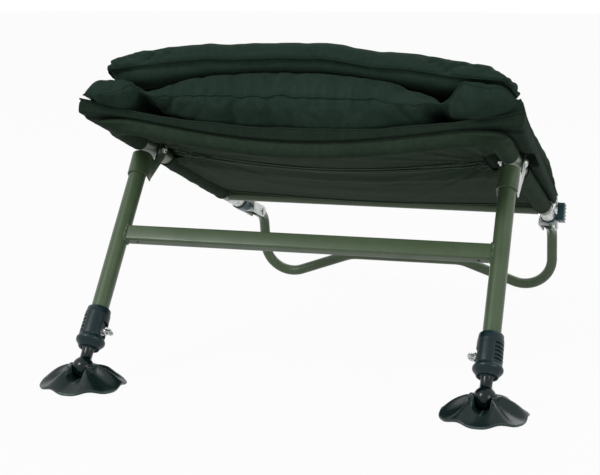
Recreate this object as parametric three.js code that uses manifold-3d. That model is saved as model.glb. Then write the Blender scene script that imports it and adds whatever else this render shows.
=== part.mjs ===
// A carp fishing chair with its backrest folded down on the seat and its legs standing.
// Units are millimetres and degrees. +Z is up, the front of the seat faces -Y, and the
// origin is on the ground, in the middle of the chair's outline.
import * as THREE from 'three';
import { mergeVertices } from 'three/addons/utils/BufferGeometryUtils.js';
import Module from 'manifold-3d';

const wasm = await Module();
wasm.setup();

// Fits
const fitGap = 0.3;
const clothGap = 0.5;
const padGap = 0.6;
const cutOverrun = 5;

// Seat frame: a bent tube, open at the back, that slopes down to the rear
const seatSlope = 18.3;
const railSpread = 274;
const railRadius = 12.5;
const tubeWall = 1.5;
const frontBarStation = 14;
const railEndStation = 585;
const frameCornerRadius = 50;
const frontBarBow = 28;
const rearSag = 6;
const bowPower = 1.5;
const crossTubeRadius = 9;
const crossTubeInset = 13;
const crossTubeStation = railEndStation - crossTubeInset;
const crossTubeDrop = 4;
const boltStation = 200;

// Cloth of the seat and the backrest
const clothThickness = 1.5;
const sleeveInner = railRadius + clothGap;
const sleeveOuter = sleeveInner + clothThickness;
const panelThickness = 2;
const panelRowCount = 6;
const panelStep = 75;
const notchDepth = 38;
const notchInnerX = railSpread - notchDepth;
const notchAhead = 60;
const notchBehind = 58;
const notchStart = boltStation - notchAhead;
const notchEnd = boltStation + notchBehind;
const cornerClothReach = 17;
const cornerClothWidth = 51;
const cornerClothLead = 16;
const cornerClothLength = 52;
const cornerClothOuter = railSpread + cornerClothReach;
const cornerClothInner = cornerClothOuter - cornerClothWidth;
const cornerClothStart = frontBarStation - cornerClothLead;
const cornerClothEnd = cornerClothStart + cornerClothLength;
const bracketSlotDepth = 27;
const bracketSlotAhead = 38;
const bracketSlotBehind = 36;
const bracketSlotTop = 19;
const bracketSlotInner = railSpread - bracketSlotDepth;
const bracketSlotStart = boltStation - bracketSlotAhead;
const bracketSlotEnd = boltStation + bracketSlotBehind;
const slitLead = 8;
const slitWidth = 8;
const frontPanelEnd = boltStation - slitLead;
const rearPanelInset = 33;
const rearPanelEnd = railEndStation - rearPanelInset;

// Seat pad, a flat base layer with a skirt over the rails
const padOverhang = 37;
const padRearOverhang = 22;
const padHalfWidth = railSpread + padOverhang;
const padRearHalfWidth = railSpread + padRearOverhang;
const padEdgeTop = 27;
const padEdgeRear = 20;
const padThickness = 20;
const padFrontOverhang = 22;
const padRearInset = 29;
const padFrontStation = frontBarStation - padFrontOverhang;
const padRearStation = railEndStation - padRearInset;
const padNoseDrop = 6;
const padLipHeight = 1.8;
const padFootReach = 17;
const padFootSpread = railSpread + padFootReach;
const padFootWidth = 2;
const padFootHeight = 4;
const padCrownPower = 2.2;
const topRowCount = 6;

// Seat mattress, a pillow sewn into a wide middle lobe and two narrow side lobes
const mattressOverhang = 27;
const mattressRearOverhang = 16;
const mattressFrontOverhang = 38;
const mattressRearInset = 7;
const mattressHalfWidth = railSpread + mattressOverhang;
const mattressRearHalfWidth = railSpread + mattressRearOverhang;
const mattressFrontStation = frontBarStation - mattressFrontOverhang;
const mattressRearStation = railEndStation - mattressRearInset;
const mattressRounding = 42;
const sideLobeWidth = 96;
const channelOffset = mattressHalfWidth - sideLobeWidth;
const channelWidth = 16;
const channelDepthShare = 0.4;
const seamThickness = 3;

// Recline joint, a pair of steel arms at the end of each rail
const reclineReach = 105;
const reclineStation = railEndStation + reclineReach;
const reclineHeight = 24;
const armEndLead = 8;
const armEndStation = reclineStation - armEndLead;
const armPlugLength = 26;
const armBoreDepth = 60;
const armWall = 2;
const earRadius = 17;
const earFootLead = 42;
const earFootStation = reclineStation - earFootLead;
const earSweep = 150;
const earFootHeight = 2;
const earThickness = 3;
const tongueRadius = 16;
const tongueThickness = 10;
const tongueHeight = 17;
const toothCount = 16;
const toothDepth = 1.5;
const collarPlateLength = 5;
const reclinePinRadius = 4;
const pinHeadRadius = 7;
const pinHeadThickness = 2.5;
const guardLength = 33;
const guardThickness = 1.8;
const guardTop = 2;
const catchWidth = 12;
const catchLength = 30;
const catchTop = 22;
const catchBottom = 8;
const catchRibCount = 5;
const catchRibDepth = 1.5;
const catchRibShare = 0.5;

// Backrest frame: a bent tube that lies on top, with its top bar to the front
const backTopInset = 12;
const backTopLead = 20;
const backTopSpread = railSpread - backTopInset;
const backTopStation = frontBarStation - backTopLead;
const backTopBow = 28;
const backRearBow = 4;
const backFootLead = 35;
const backLowLead = 155;
const backFootStation = reclineStation - backFootLead;
const backLowStation = backFootStation - backLowLead;
const backLowHeight = 57;
const backHighReach = 206;
const backHighStation = backTopStation + backHighReach;
const backHighHeight = 68;
const backCornerHeight = 62;
const backSleeveOverhang = 5;
const backSleeveEnd = railEndStation + backSleeveOverhang;

// Backrest cushion, with a pocket at its end that is pulled over the top bar
const cushionOverhang = 18;
const cushionFrontOverhang = 21;
const cushionRearInset = 20;
const cushionHalfWidth = backTopSpread + cushionOverhang;
const cushionFrontStation = backTopStation - cushionFrontOverhang;
const cushionRearStation = backSleeveEnd - cushionRearInset;
const cushionRounding = 24;
const cushionThickness = 22.4;
const cushionUnderRail = 16;
const pocketTop = 22.5;
const pocketDepth = 10;
const pocketCornerInset = 47;
const pocketEnd = backTopStation + pocketDepth;
const pocketCornerStart = backTopSpread - pocketCornerInset;
const pocketCornerReach = 46;

// Front legs
const legRake = 39.46;
const legSplay = 1.2;
const splayDrop = 49;
const legRadius = 12.5;
const legGap = 4.5;
const legOffset = railRadius + legRadius + legGap;
const legTopDrop = 31;
const legEndDrop = 307;
const bracketLead = 0.5;
const bracketLength = 35.8;
const bracketTopDrop = legTopDrop + bracketLead;
const bracketDrop = bracketTopDrop + bracketLength;
const bracketWall = 2;
const bracketGap = 0.8;
const bracketTuck = 5.3;
const bracketBackDrop = bracketDrop - bracketTuck;
const bracketBackReach = 15;
const earTipReach = 19;
const earTipDrop = 2;
const earTopReach = 11;
const earTopRise = 13.5;
const earCrownReach = 6;
const earCrownRise = 15.5;
const earFrontReach = 14;
const boltRadius = 3;
const boltHeadRadius = 8;
const boltHeadHeight = 4;
const boltHeadCrownShare = 0.6;
const boltHeadEdgeShare = 0.85;
const boltHeadTopShare = 0.5;
const nutRadius = 7;
const nutHeight = 5;
const nutSides = 6;
const boltEnd = 2.5;
const crossbarDrop = 166.7;
const crossbarHeight = 24;
const crossbarDepth = 17;
const crossbarWall = 1.5;
const crossbarRounding = 3;
const crossbarLap = 6;
const copeGap = 0.6;
const ventInset = 26;
const ventRadius = 2;

// Height adjusters
const collarGrip = 16.5;
const collarGuide = 41.5;
const collarTopDrop = legEndDrop - collarGrip;
const collarEndDrop = legEndDrop + collarGuide;
const collarRadius = 18.5;
const collarTopRadius = 16.2;
const collarTopLength = 6;
const collarFlangeRadius = 20;
const collarFlangeInset = 15;
const collarFlangeDrop = collarEndDrop - collarFlangeInset;
const collarFlangeHeight = 10;
const collarRibCount = 4;
const collarRibPitch = 7.5;
const collarRibDepth = 1.2;
const collarRibShare = 0.3;
const collarRibLead = 8;
const collarRibDrop = collarTopDrop + collarRibLead;
const windowInset = 24.5;
const windowDrop = collarEndDrop - windowInset;
const windowHeight = 23;
const windowWidth = 22;
const windowReach = 14.5;
const innerLegRadius = 10.3;
const innerLegWall = 1.5;
const innerLegOverlap = 127;
const innerLegPlugLength = 16;
const innerLegStandoff = 1;
const innerLegTopDrop = legEndDrop - innerLegOverlap;
const innerLegEndDrop = collarEndDrop + innerLegStandoff;
const innerLegPlugDrop = innerLegEndDrop - innerLegPlugLength;
const neckRadius = 8.2;
const neckLength = 16;
const neckEndDrop = innerLegEndDrop + neckLength;
const ballRadius = 15.5;
const shoulderStep = 2;
const shoulderRadius = ballRadius - shoulderStep;
const ballReach = 32.5;
const ballDrop = innerLegEndDrop + ballReach;
const ballRowCount = 5;
const screwRadius = 3;
const wingHubRadius = 6;
const wingHubLength = 3.5;
const wingRadius = 5;
const wingOffset = 5.5;
const wingThickness = 3;

// Mud feet
const footBallHeight = 25.5;
const footRadius = 60.5;
const footLobes = 6;
const footLobeShare = 0.05;
const footLift = 4.5;
const footFlatRadius = 28;
const footRimThickness = 4;
const footHubRadius = 23;
const footHubHeight = 15;
const footRidgeRise = 10;
const footCollarRadius = 20.5;
const footCollarHeight = 32;
const socketGap = 0.6;
const footTilt = 12;
const neckClearance = 14.8;
const footSlotWidth = 22;
const footSlotHeight = 15.5;
const footRings = 3;
const footSides = 24;

// Rear leg: one bent tube with a raised middle
const rearLegInset = 8;
const rearLegSpread = railSpread - rearLegInset;
const rearLegRadius = 9;
const rearPivotReach = 52;
const rearPivotStation = reclineStation + rearPivotReach;
const rearPivotDrop = 3;
const rearTubeEnd = 9;
const rearElbowReach = 46;
const rearElbowRadius = 34;
const rearLegRun = 22;
const rearCornerRadius = 50;
const rearMiddleHalf = 103;
const rearMiddleSlope = 20;
const rearMiddleRadius = 60;
const clevisWall = 2.5;
const clevisTop = 5;
const clevisRadius = 10;
const clevisPinRadius = 3;

// Facets
const tubeSides = 10;
const turnedSides = 16;
const innerSides = 8;
const bendStep = 30;
const barStepCount = 6;
const mergeGap = 0.001;

const deg = THREE.MathUtils.degToRad;
const slope = deg(seatSlope);
const rake = deg(legRake);
const vec = (x, y, z) => new THREE.Vector3(x, y, z);
const lerp = THREE.MathUtils.lerp;

// Heights that make all feet stand on the ground
const legDrop = ballDrop * Math.cos(rake) - legOffset * Math.sin(rake);
const legReach = ballDrop * Math.sin(rake) + legOffset * Math.cos(rake);
const boltHeight = footBallHeight + legDrop;
const seatFrontHeight = boltHeight + boltStation * Math.sin(slope);
const boltY = boltStation * Math.cos(slope);
const footY = boltY - legReach;
const rearPivotY = rearPivotStation * Math.cos(slope) - rearPivotDrop * Math.sin(slope);
const rearPivotZ = seatFrontHeight - rearPivotStation * Math.sin(slope) - rearPivotDrop * Math.cos(slope);
const rearElbowY = rearPivotY + rearElbowReach * Math.cos(slope);
const rearElbowZ = rearPivotZ - rearElbowReach * Math.sin(slope);
const rearFootY = rearElbowY + rearLegRun;
const originY = (footY - footRadius + rearFootY + rearLegRadius) / 2;

// Finishes
const finish = (color, roughness, metalness) => ({ color, roughness, metalness });
const olivePaint = finish(0x53624e, 0.45, 0.4);
const galvanised = finish(0xc8ccca, 0.3, 0.9);
const blackPlastic = finish(0x2f3b3f, 0.5, 0);
const seatCloth = finish(0x2f3b31, 0.9, 0);
const mattressCloth = finish(0x27352f, 0.95, 0);

function named(name, geometry, look) {
  const mesh = new THREE.Mesh(geometry, new THREE.MeshStandardMaterial(look));
  mesh.name = name;
  return mesh;
}

// Solids: closed meshes that can be joined and cut

// The bare corners and faces of a shape, with its doubled corners merged
function mergedOf(geometry) {
  const bare = new THREE.BufferGeometry();
  bare.setAttribute('position', geometry.attributes.position.clone());
  if (geometry.index) bare.setIndex(geometry.index.clone());
  return mergeVertices(bare, mergeGap);
}

function solidOf(geometry) {
  const merged = mergedOf(geometry);
  return new wasm.Manifold(new wasm.Mesh({
    numProp: 3,
    vertProperties: new Float32Array(merged.attributes.position.array),
    triVerts: new Uint32Array(merged.index.array),
  }));
}

function geometryOf(solid) {
  const mesh = solid.getMesh();
  const geometry = new THREE.BufferGeometry();
  geometry.setAttribute('position', new THREE.Float32BufferAttribute(mesh.vertProperties, 3));
  geometry.setIndex(Array.from(mesh.triVerts));
  return geometry;
}

function cut(geometry, ...tools) {
  return geometryOf(tools.reduce((solid, tool) => solid.subtract(solidOf(tool)), solidOf(geometry)));
}

function join(...geometries) {
  return geometryOf(geometries.map(solidOf).reduce((all, solid) => all.add(solid)));
}

const box = (x0, x1, y0, y1, z0, z1) =>
  new THREE.BoxGeometry(x1 - x0, y1 - y0, z1 - z0).translate((x0 + x1) / 2, (y0 + y1) / 2, (z0 + z1) / 2);

const sideBox = (side, inner, outer, ...rest) =>
  (side > 0 ? box(inner, outer, ...rest) : box(-outer, -inner, ...rest));

const rodX = (radius, x0, x1, y, z, sides = tubeSides) =>
  new THREE.CylinderGeometry(radius, radius, x1 - x0,
    sides).rotateZ(Math.PI / 2).translate((x0 + x1) / 2, y, z);

const rodY = (radius, y0, y1, x, z, sides = tubeSides) =>
  new THREE.CylinderGeometry(radius, radius, y1 - y0, sides).translate(x, (y0 + y1) / 2, z);

const rodZ = (radius, z0, z1, x, y, sides = tubeSides) =>
  new THREE.CylinderGeometry(radius, radius, z1 - z0, sides).rotateX(Math.PI / 2).translate(x, y,
    (z0 + z1) / 2);

// Tubes: a ring section carried from station to station along a bent line

class StationCurve extends THREE.Curve {
  constructor(stations) {
    super();
    this.stations = stations;
  }

  getPoint(t, target = new THREE.Vector3()) {
    const place = t * (this.stations.length - 1);
    const index = Math.min(Math.floor(place), this.stations.length - 2);
    return target.lerpVectors(this.stations[index], this.stations[index + 1], place - index);
  }

  getPointAt(u, target) {
    return this.getPoint(u, target);
  }

  getTangentAt(u, target = new THREE.Vector3()) {
    const index = Math.round(u * (this.stations.length - 1));
    const here = this.stations[index];
    target.set(0, 0, 0);
    if (index > 0) target.add(here.clone().sub(this.stations[index - 1]).normalize());
    if (index < this.stations.length - 1) {
      target.add(this.stations[index + 1].clone().sub(here).normalize());
    }
    return target.normalize();
  }
}

function ringShape(outer, inner) {
  const shape = new THREE.Shape().absarc(0, 0, outer, 0, 2 * Math.PI);
  if (inner) shape.holes.push(new THREE.Path().absarc(0, 0, inner, 0, 2 * Math.PI, true));
  return shape;
}

function tube(stations, outer, inner = 0) {
  return new THREE.ExtrudeGeometry(ringShape(outer, inner), {
    curveSegments: tubeSides / 2,
    steps: stations.length - 1,
    extrudePath: new StationCurve(stations),
  });
}

// A polyline of { at, radius } corners becomes stations, with arcs at the rounded corners.
function rounded(corners) {
  const stations = [];
  corners.forEach(({ at, radius = 0 }, index) => {
    if (!radius) {
      stations.push(at.clone());
      return;
    }
    const back = corners[index - 1].at.clone().sub(at).normalize();
    const ahead = corners[index + 1].at.clone().sub(at).normalize();
    const half = back.angleTo(ahead) / 2;
    const toCentre = back.clone().add(ahead).normalize().multiplyScalar(radius / Math.sin(half));
    const centre = at.clone().add(toCentre);
    const first = at.clone().addScaledVector(back, radius / Math.tan(half)).sub(centre);
    const turn = Math.PI - 2 * half;
    const axis = first.clone().cross(at.clone().addScaledVector(ahead,
      radius / Math.tan(half)).sub(centre)).normalize();
    const steps = Math.ceil(turn / deg(bendStep));
    for (let step = 0; step <= steps; step++) {
      stations.push(first.clone().applyAxisAngle(axis, (turn * step) / steps).add(centre));
    }
  });
  return stations;
}

// Every gap between stations that crosses the middle is filled, so a bar can bow.
function filledMiddle(stations, steps) {
  const filled = [];
  stations.forEach((station, index) => {
    filled.push(station);
    const next = stations[index + 1];
    if (!next || station.x * next.x >= 0) return;
    for (let step = 1; step < steps; step++) filled.push(station.clone().lerp(next, step / steps));
  });
  return filled;
}

// Lofts: closed rings of points, one behind the other

function loft(rings) {
  const count = rings[0].length;
  const positions = rings.flat().flatMap((point) => [point.x, point.y, point.z]);
  const indices = [];
  for (let ring = 0; ring < rings.length - 1; ring++) {
    for (let side = 0; side < count; side++) {
      const a = ring * count + side;
      const b = ring * count + ((side + 1) % count);
      indices.push(a, b, a + count, b, b + count, a + count);
    }
  }
  const flat = (ring) => ring.map((point) => new THREE.Vector2(point.x, point.z));
  const clockwise = THREE.ShapeUtils.isClockWise(flat(rings[0]));
  const cap = (ring, start, backwards) => {
    for (const [a, b, c] of THREE.ShapeUtils.triangulateShape(flat(ring), [])) {
      indices.push(...(backwards ? [start + a, start + c, start + b] : [start + a, start + b,
        start + c]));
    }
  };
  cap(rings[0], 0, !clockwise);
  cap(rings.at(-1), (rings.length - 1) * count, clockwise);
  const geometry = new THREE.BufferGeometry();
  geometry.setAttribute('position', new THREE.Float32BufferAttribute(positions, 3));
  geometry.setIndex(indices);
  return facingOut(geometry);
}

function facingOut(geometry) {
  const points = geometry.attributes.position;
  const index = geometry.index;
  const corner = (place) => new THREE.Vector3().fromBufferAttribute(points, index.getX(place));
  let volume = 0;
  for (let place = 0; place < index.count; place += 3) {
    volume += corner(place).dot(corner(place + 1).cross(corner(place + 2)));
  }
  if (volume < 0) {
    for (let place = 0; place < index.count; place += 3) {
      const kept = index.getX(place);
      index.setX(place, index.getX(place + 2));
      index.setX(place + 2, kept);
    }
  }
  return geometry;
}

// Seat surfaces, in the seat's own frame: x across, y along the rails, z square to them

const bowShape = (x, half) => Math.max(0, 1 - (x / half) ** 2) ** bowPower;
const along = (station, start, end) => THREE.MathUtils.clamp((station - start) / (end - start), 0, 1);
const seatSag = (station) => lerp(frontBarBow, rearSag,
  along(station, frontBarStation, crossTubeStation));
const seatPanel = (x, station) => -seatSag(station) * bowShape(x, railSpread);
const roundEdge = (inset, reach) => Math.sqrt(1 - (1 - THREE.MathUtils.clamp(inset / reach, 0, 1)) ** 2);

const padHalf = (station) => lerp(padHalfWidth, padRearHalfWidth, along(station, 0, padRearStation));
const mattressHalf = (station) => lerp(mattressHalfWidth, mattressRearHalfWidth,
  along(station, 0, mattressRearStation));

function padTop(x, station) {
  const middle = seatPanel(0, station) + panelThickness / 2 + padGap + padThickness;
  const edge = lerp(padEdgeTop, padEdgeRear, along(station, 0, padRearStation));
  return lerp(middle, edge, Math.min(1, Math.abs(x) / padHalf(station)) ** padCrownPower);
}

// The closed backrest presses the mattress into its own shape
function mattressThickness(x, station) {
  const roof = backPanel(Math.min(Math.abs(x), backTopSpread), station) - cushionThickness;
  const dip = 1 - channelDepthShare * Math.exp(-(((Math.abs(x) - channelOffset) / channelWidth) ** 2));
  return Math.max(roof - mattressFloor(x, station), seamThickness) * dip;
}

function mattressEdge(x, station) {
  const fromSide = roundEdge(mattressHalf(station) - Math.abs(x), mattressRounding);
  const fromFront = roundEdge(station - mattressFrontStation, mattressRounding);
  const fromRear = roundEdge(mattressRearStation - station, mattressRounding);
  return fromSide * fromFront * fromRear;
}

const mattressFloor = (x, station) => padTop(x, station) + padGap;
const mattressMiddle = (x, station) => mattressFloor(x, station) + mattressThickness(x, station) / 2;

function mattressSurface(x, station, side) {
  const swell = (mattressThickness(x, station) / 2) * mattressEdge(x, station);
  return mattressMiddle(x, station) + side * Math.max(swell, seamThickness / 2);
}

function backRail(station) {
  const line = [
    [backTopStation, backCornerHeight],
    [backHighStation, backHighHeight],
    [backLowStation, backLowHeight],
    [reclineStation, reclineHeight],
  ];
  const at = line.findIndex(([end], index) => index > 0 && station <= end);
  const [[start, low], [end, high]] = at < 1 ? line.slice(-2) : line.slice(at - 1, at + 1);
  return lerp(low, high, (station - start) / (end - start));
}

function backPanel(x, station) {
  const bow = lerp(backTopBow, backRearBow, along(station, backTopStation, backSleeveEnd));
  return backRail(station) + bow * bowShape(x, backTopSpread);
}

function cushionRoof(x, station) {
  const end = Math.abs(x) > pocketCornerStart ? pocketEnd + pocketCornerReach : pocketEnd;
  if (station < end) return backPanel(x, station) + pocketTop;
  const underRail = THREE.MathUtils.smoothstep(Math.abs(x), backTopSpread - 2 * cushionUnderRail,
    backTopSpread - cushionUnderRail);
  return backPanel(x, station) - panelThickness / 2 - padGap - underRail * sleeveOuter;
}

function cushionSurface(x, station, side) {
  const floor = mattressSurface(x, Math.max(station, mattressFrontStation + mattressRounding / 2),
    1) - seamThickness;
  const roof = cushionRoof(x, station);
  const swell = roundEdge(cushionHalfWidth - Math.abs(x), cushionRounding)
    * roundEdge(station - cushionFrontStation, cushionRounding)
    * roundEdge(cushionRearStation - station, cushionRounding);
  return (floor + roof) / 2 + side * Math.max(((roof - floor) / 2) * swell, seamThickness / 2);
}

// A closed sheet or pillow between an upper and a lower surface
function layered(across, stations, upper, lower) {
  return loft(stations.map((station) => {
    const row = typeof across === 'function' ? across(station) : across;
    return [
      ...row.map((x) => vec(x, station, upper(x, station))),
      ...row.toReversed().map((x) => vec(x, station, lower(x, station))),
    ];
  }));
}

const mirrored = (half) => [...half.toReversed().map((x) => -x), 0, ...half];

function spread(start, end, steps) {
  return Array.from({ length: steps + 1 }, (_, step) => lerp(start, end, step / steps));
}

// Distances from a rounded edge at which a pillow needs a row of points
const edgeShares = [0, 0.06, 0.3, 0.65];

const lobeRows = [
  channelOffset / 2,
  channelOffset - 2 * channelWidth,
  channelOffset - channelWidth,
  channelOffset - channelWidth / 3,
  channelOffset + channelWidth / 3,
  channelOffset + channelWidth,
];

const insideRows = (half, rounding) => {
  const sideRows = edgeShares.map((share) => half - share * rounding).toReversed();
  return mirrored([...lobeRows.filter((x) => x < sideRows[0]), ...sideRows]);
};

function seatFramePath() {
  const corners = [
    { at: vec(-railSpread, railEndStation, 0) },
    { at: vec(-railSpread, frontBarStation, 0), radius: frameCornerRadius },
    { at: vec(railSpread, frontBarStation, 0), radius: frameCornerRadius },
    { at: vec(railSpread, railEndStation, 0) },
  ];
  return corners;
}

function bowed(corners, surface) {
  return filledMiddle(rounded(corners), barStepCount).map((at) => vec(at.x, at.y, surface(at.x, at.y)));
}

function seatFrameStations(endStation) {
  const corners = seatFramePath();
  corners[0].at.y = endStation;
  corners[3].at.y = endStation;
  return bowed(corners, seatPanel);
}

function backFrameStations(endStation) {
  const spreadAt = (station) => lerp(backTopSpread, railSpread,
    along(station, backTopStation, backLowStation));
  const bends = [backFootStation, backLowStation, backHighStation].filter((station) =>
    station < endStation);
  const side = [endStation, ...bends];
  const corner = backTopSpread;
  return bowed([
    ...side.map((station) => ({ at: vec(-spreadAt(station), station, 0) })),
    { at: vec(-corner, backTopStation, 0), radius: frameCornerRadius },
    { at: vec(corner, backTopStation, 0), radius: frameCornerRadius },
    ...side.toReversed().map((station) => ({ at: vec(spreadAt(station), station, 0) })),
  ], backPanel);
}

const sides = { left: -1, right: 1 };

function seatFrame() {
  const frame = tube(seatFrameStations(railEndStation), railRadius, railRadius - tubeWall);
  const reach = railSpread + railRadius + cutOverrun;
  return named('seat_frame', cut(frame, rodX(boltRadius + fitGap, -reach, reach, boltStation, 0)),
    olivePaint);
}

function seatCrossTube() {
  const half = railSpread - railRadius / 2;
  const bar = tube([vec(-half, crossTubeStation, -crossTubeDrop),
    vec(half, crossTubeStation, -crossTubeDrop)],
    crossTubeRadius, crossTubeRadius - tubeWall);
  const rails = Object.values(sides).map((side) =>
    rodY(railRadius + fitGap, crossTubeStation - railRadius * 2, crossTubeStation + railRadius * 2,
      side * railSpread, 0));
  return named('seat_cross_tube', cut(bar, ...rails), olivePaint);
}

const panelStations = (start, end) => spread(start, end, Math.ceil((end - start) / panelStep));
const panelRows = (half) => spread(half / panelRowCount, half, panelRowCount - 1);

function sheet(half, stations, surface) {
  const across = mirrored(panelRows(half));
  const upper = (x, station) => surface(x, station) + panelThickness / 2;
  const lower = (x, station) => surface(x, station) - panelThickness / 2;
  return layered(across, stations, upper, lower);
}

function bracketNotches(start, end) {
  const depth = railRadius * 4;
  return Object.values(sides).map((side) => sideBox(side, notchInnerX, railSpread + depth, start, end,
    -depth, depth));
}

function frontSling() {
  const sleeve = tube(seatFrameStations(notchStart), sleeveOuter);
  const panel = sheet(railSpread, panelStations(frontBarStation, frontPanelEnd), seatPanel);
  const room = tube(seatFrameStations(frontPanelEnd + cutOverrun), sleeveInner);
  const notch = bracketNotches(notchStart, frontPanelEnd + cutOverrun);
  const corners = Object.values(sides).map((side) => cut(
    sideBox(side, cornerClothInner, cornerClothOuter, cornerClothStart, cornerClothEnd,
      -panelThickness / 2, panelThickness / 2),
    rodZ(frameCornerRadius, -railRadius, railRadius, side * (railSpread - frameCornerRadius),
      frontBarStation + frameCornerRadius),
  ));
  return named('seat_sling_front', cut(join(sleeve, panel, ...corners), room, ...notch), seatCloth);
}

function rearSling() {
  const start = frontPanelEnd + slitWidth;
  const panel = sheet(railSpread, panelStations(start, rearPanelEnd), seatPanel);
  const sleeves = Object.values(sides).map((side) =>
    rodY(sleeveOuter, notchEnd, rearPanelEnd, side * railSpread, 0));
  const rooms = Object.values(sides).map((side) =>
    rodY(sleeveInner, start - cutOverrun, rearPanelEnd + cutOverrun, side * railSpread, 0));
  const notch = bracketNotches(start - cutOverrun, notchEnd);
  return named('seat_sling_rear', cut(join(panel, ...sleeves), ...rooms, ...notch), seatCloth);
}

// The pad lies on the cloth, its nose hangs before the front bar and its skirt outside the rails
function seatPad() {
  const behindBar = frontBarStation + sleeveOuter;
  const floorAt = (station) => (station < behindBar ? padNoseDrop : panelThickness / 2 + padGap);
  const ring = (station) => {
    const floor = (x) => vec(x, station, seatPanel(x, station) + floorAt(station));
    const topRows = spread(padHalf(station) / topRowCount, padHalf(station), topRowCount - 1);
    const skirt = [vec(padFootSpread + padFootWidth, station, padFootHeight),
      vec(padFootSpread, station, padLipHeight)];
    const right = [...skirt, ...panelRows(railSpread).toReversed().map(floor)];
    const left = right.toReversed().map((point) => vec(-point.x, point.y, point.z));
    const top = mirrored(topRows).map((x) => vec(x, station, padTop(x, station)));
    return [...right, floor(0), ...left, ...top];
  };
  const stations = [padFrontStation, behindBar - padGap, behindBar,
    ...panelStations(behindBar * 2, padRearStation)];
  const room = tube(seatFrameStations(padRearStation + cutOverrun), sleeveOuter + padGap);
  const slots = Object.values(sides).map((side) => sideBox(side, bracketSlotInner,
    padHalfWidth + cutOverrun,
    bracketSlotStart, bracketSlotEnd, -railRadius, bracketSlotTop));
  return named('seat_pad', cut(loft(stations.map(ring)), room, ...slots), seatCloth);
}

function mattressPillow() {
  const across = (station) => insideRows(mattressHalf(station), mattressRounding);
  const front = edgeShares.map((share) => mattressFrontStation + share * mattressRounding);
  const rear = edgeShares.map((share) => mattressRearStation - share * mattressRounding).toReversed();
  const stations = [...front, ...spread(mattressRounding, mattressRearStation - mattressRounding, 4),
    ...rear];
  const upper = (x, station) => mattressSurface(x, station, 1);
  const lower = (x, station) => mattressSurface(x, station, -1);
  return layered(across, stations, upper, lower);
}

const seatMattress = () => named('seat_mattress', mattressPillow(), mattressCloth);

function backrestFrame() {
  const stations = backFrameStations(backFootStation);
  return named('backrest_frame', tube(stations, railRadius, railRadius - tubeWall), olivePaint);
}

function backrestSling() {
  const sleeve = tube(backFrameStations(backSleeveEnd), sleeveOuter);
  const stations = [[backTopStation, backHighStation], [backHighStation, backLowStation],
    [backLowStation, backSleeveEnd]];
  const rows = stations.flatMap(([start, end], index) => panelStations(start, end).slice(index ? 1 : 0));
  const panel = sheet(backTopSpread, rows, backPanel);
  const room = tube(backFrameStations(backSleeveEnd + cutOverrun), sleeveInner);
  return named('backrest_sling', cut(join(sleeve, panel), room), seatCloth);
}

function backrestCushion() {
  const across = insideRows(cushionHalfWidth, cushionRounding);
  const front = edgeShares.map((share) => cushionFrontStation + share * cushionRounding);
  const rear = edgeShares.map((share) => cushionRearStation - share * cushionRounding).toReversed();
  const middle = spread(pocketEnd + pocketCornerReach, cushionRearStation - mattressRounding, 3);
  const stations = [...front, pocketEnd - clothGap, pocketEnd, middle[0] - clothGap, ...middle, ...rear];
  const upper = (x, station) => cushionSurface(x, station, 1);
  const lower = (x, station) => cushionSurface(x, station, -1);
  const pillow = layered(across, stations, upper, lower);
  const room = tube(backFrameStations(cushionRearStation + cutOverrun), sleeveOuter + padGap);
  const slotHalf = panelThickness / 2 + padGap;
  const slot = layered(mirrored(panelRows(backTopSpread)),
    [backTopStation, pocketEnd + pocketCornerReach + cutOverrun],
    (x, station) => backPanel(x, station) + slotHalf, (x, station) => backPanel(x, station) - slotHalf);
  const mattress = mattressPillow().translate(0, 0, padGap);
  return named('backrest_cushion', cut(pillow, room, slot, mattress), mattressCloth);
}

// Side views drawn as (y, z) outlines and given a thickness across
function plate(shape, x0, x1) {
  const sideways = new THREE.Matrix4().makeBasis(vec(0, 1, 0), vec(0, 0, 1),
    vec(1, 0, 0)).setPosition(x0, 0, 0);
  return new THREE.ExtrudeGeometry(shape, { depth: x1 - x0, bevelEnabled: false,
    curveSegments: tubeSides })
    .applyMatrix4(sideways);
}

const outline = (points) => new THREE.Shape(points.map(([y, z]) => new THREE.Vector2(y, z)));

// Turned pieces: an outline of (radius, height) points, spun about the z axis
function turned(points, turns = turnedSides) {
  const spun = new THREE.LatheGeometry(points.map(([radius, height]) =>
    new THREE.Vector2(radius, height)), turns);
  return geometryOf(solidOf(facingOut(mergedOf(spun).rotateX(Math.PI / 2))));
}

function alongRecline(reach) {
  const line = new THREE.Vector2(backFootStation - reclineStation,
    backRail(backFootStation) - reclineHeight).normalize();
  return [reclineStation + line.x * reach, reclineHeight + line.y * reach];
}

function ratchetArm(name, side) {
  const x = side * railSpread;
  const inner = tongueThickness / 2 + fitGap;
  const ear = outline([[earFootStation, earFootHeight], [armEndStation, earFootHeight]]);
  const earStart = Math.acos((armEndStation - reclineStation) / earRadius);
  ear.absarc(reclineStation, reclineHeight, earRadius, -earStart, deg(earSweep));
  const body = join(
    rodY(railRadius, railEndStation + fitGap, armEndStation, x, 0),
    rodY(railRadius - tubeWall - fitGap, railEndStation - armPlugLength, armEndStation - armWall, x, 0),
    plate(ear, x - inner - earThickness, x - inner),
    plate(ear, x + inner, x + inner + earThickness),
  );
  const slotStart = reclineStation - tongueRadius - fitGap * 2;
  const slotFloor = reclineHeight - tongueRadius - fitGap * 2;
  return named(name, cut(
    body,
    box(x - inner, x + inner, slotStart, armEndStation + cutOverrun, slotFloor, railRadius * 2),
    rodX(reclinePinRadius + fitGap, x - earRadius, x + earRadius, reclineStation, reclineHeight),
    rodY(railRadius - tubeWall - armWall, railEndStation - armPlugLength - cutOverrun,
      railEndStation + armBoreDepth, x, 0),
  ), galvanised);
}

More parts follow.
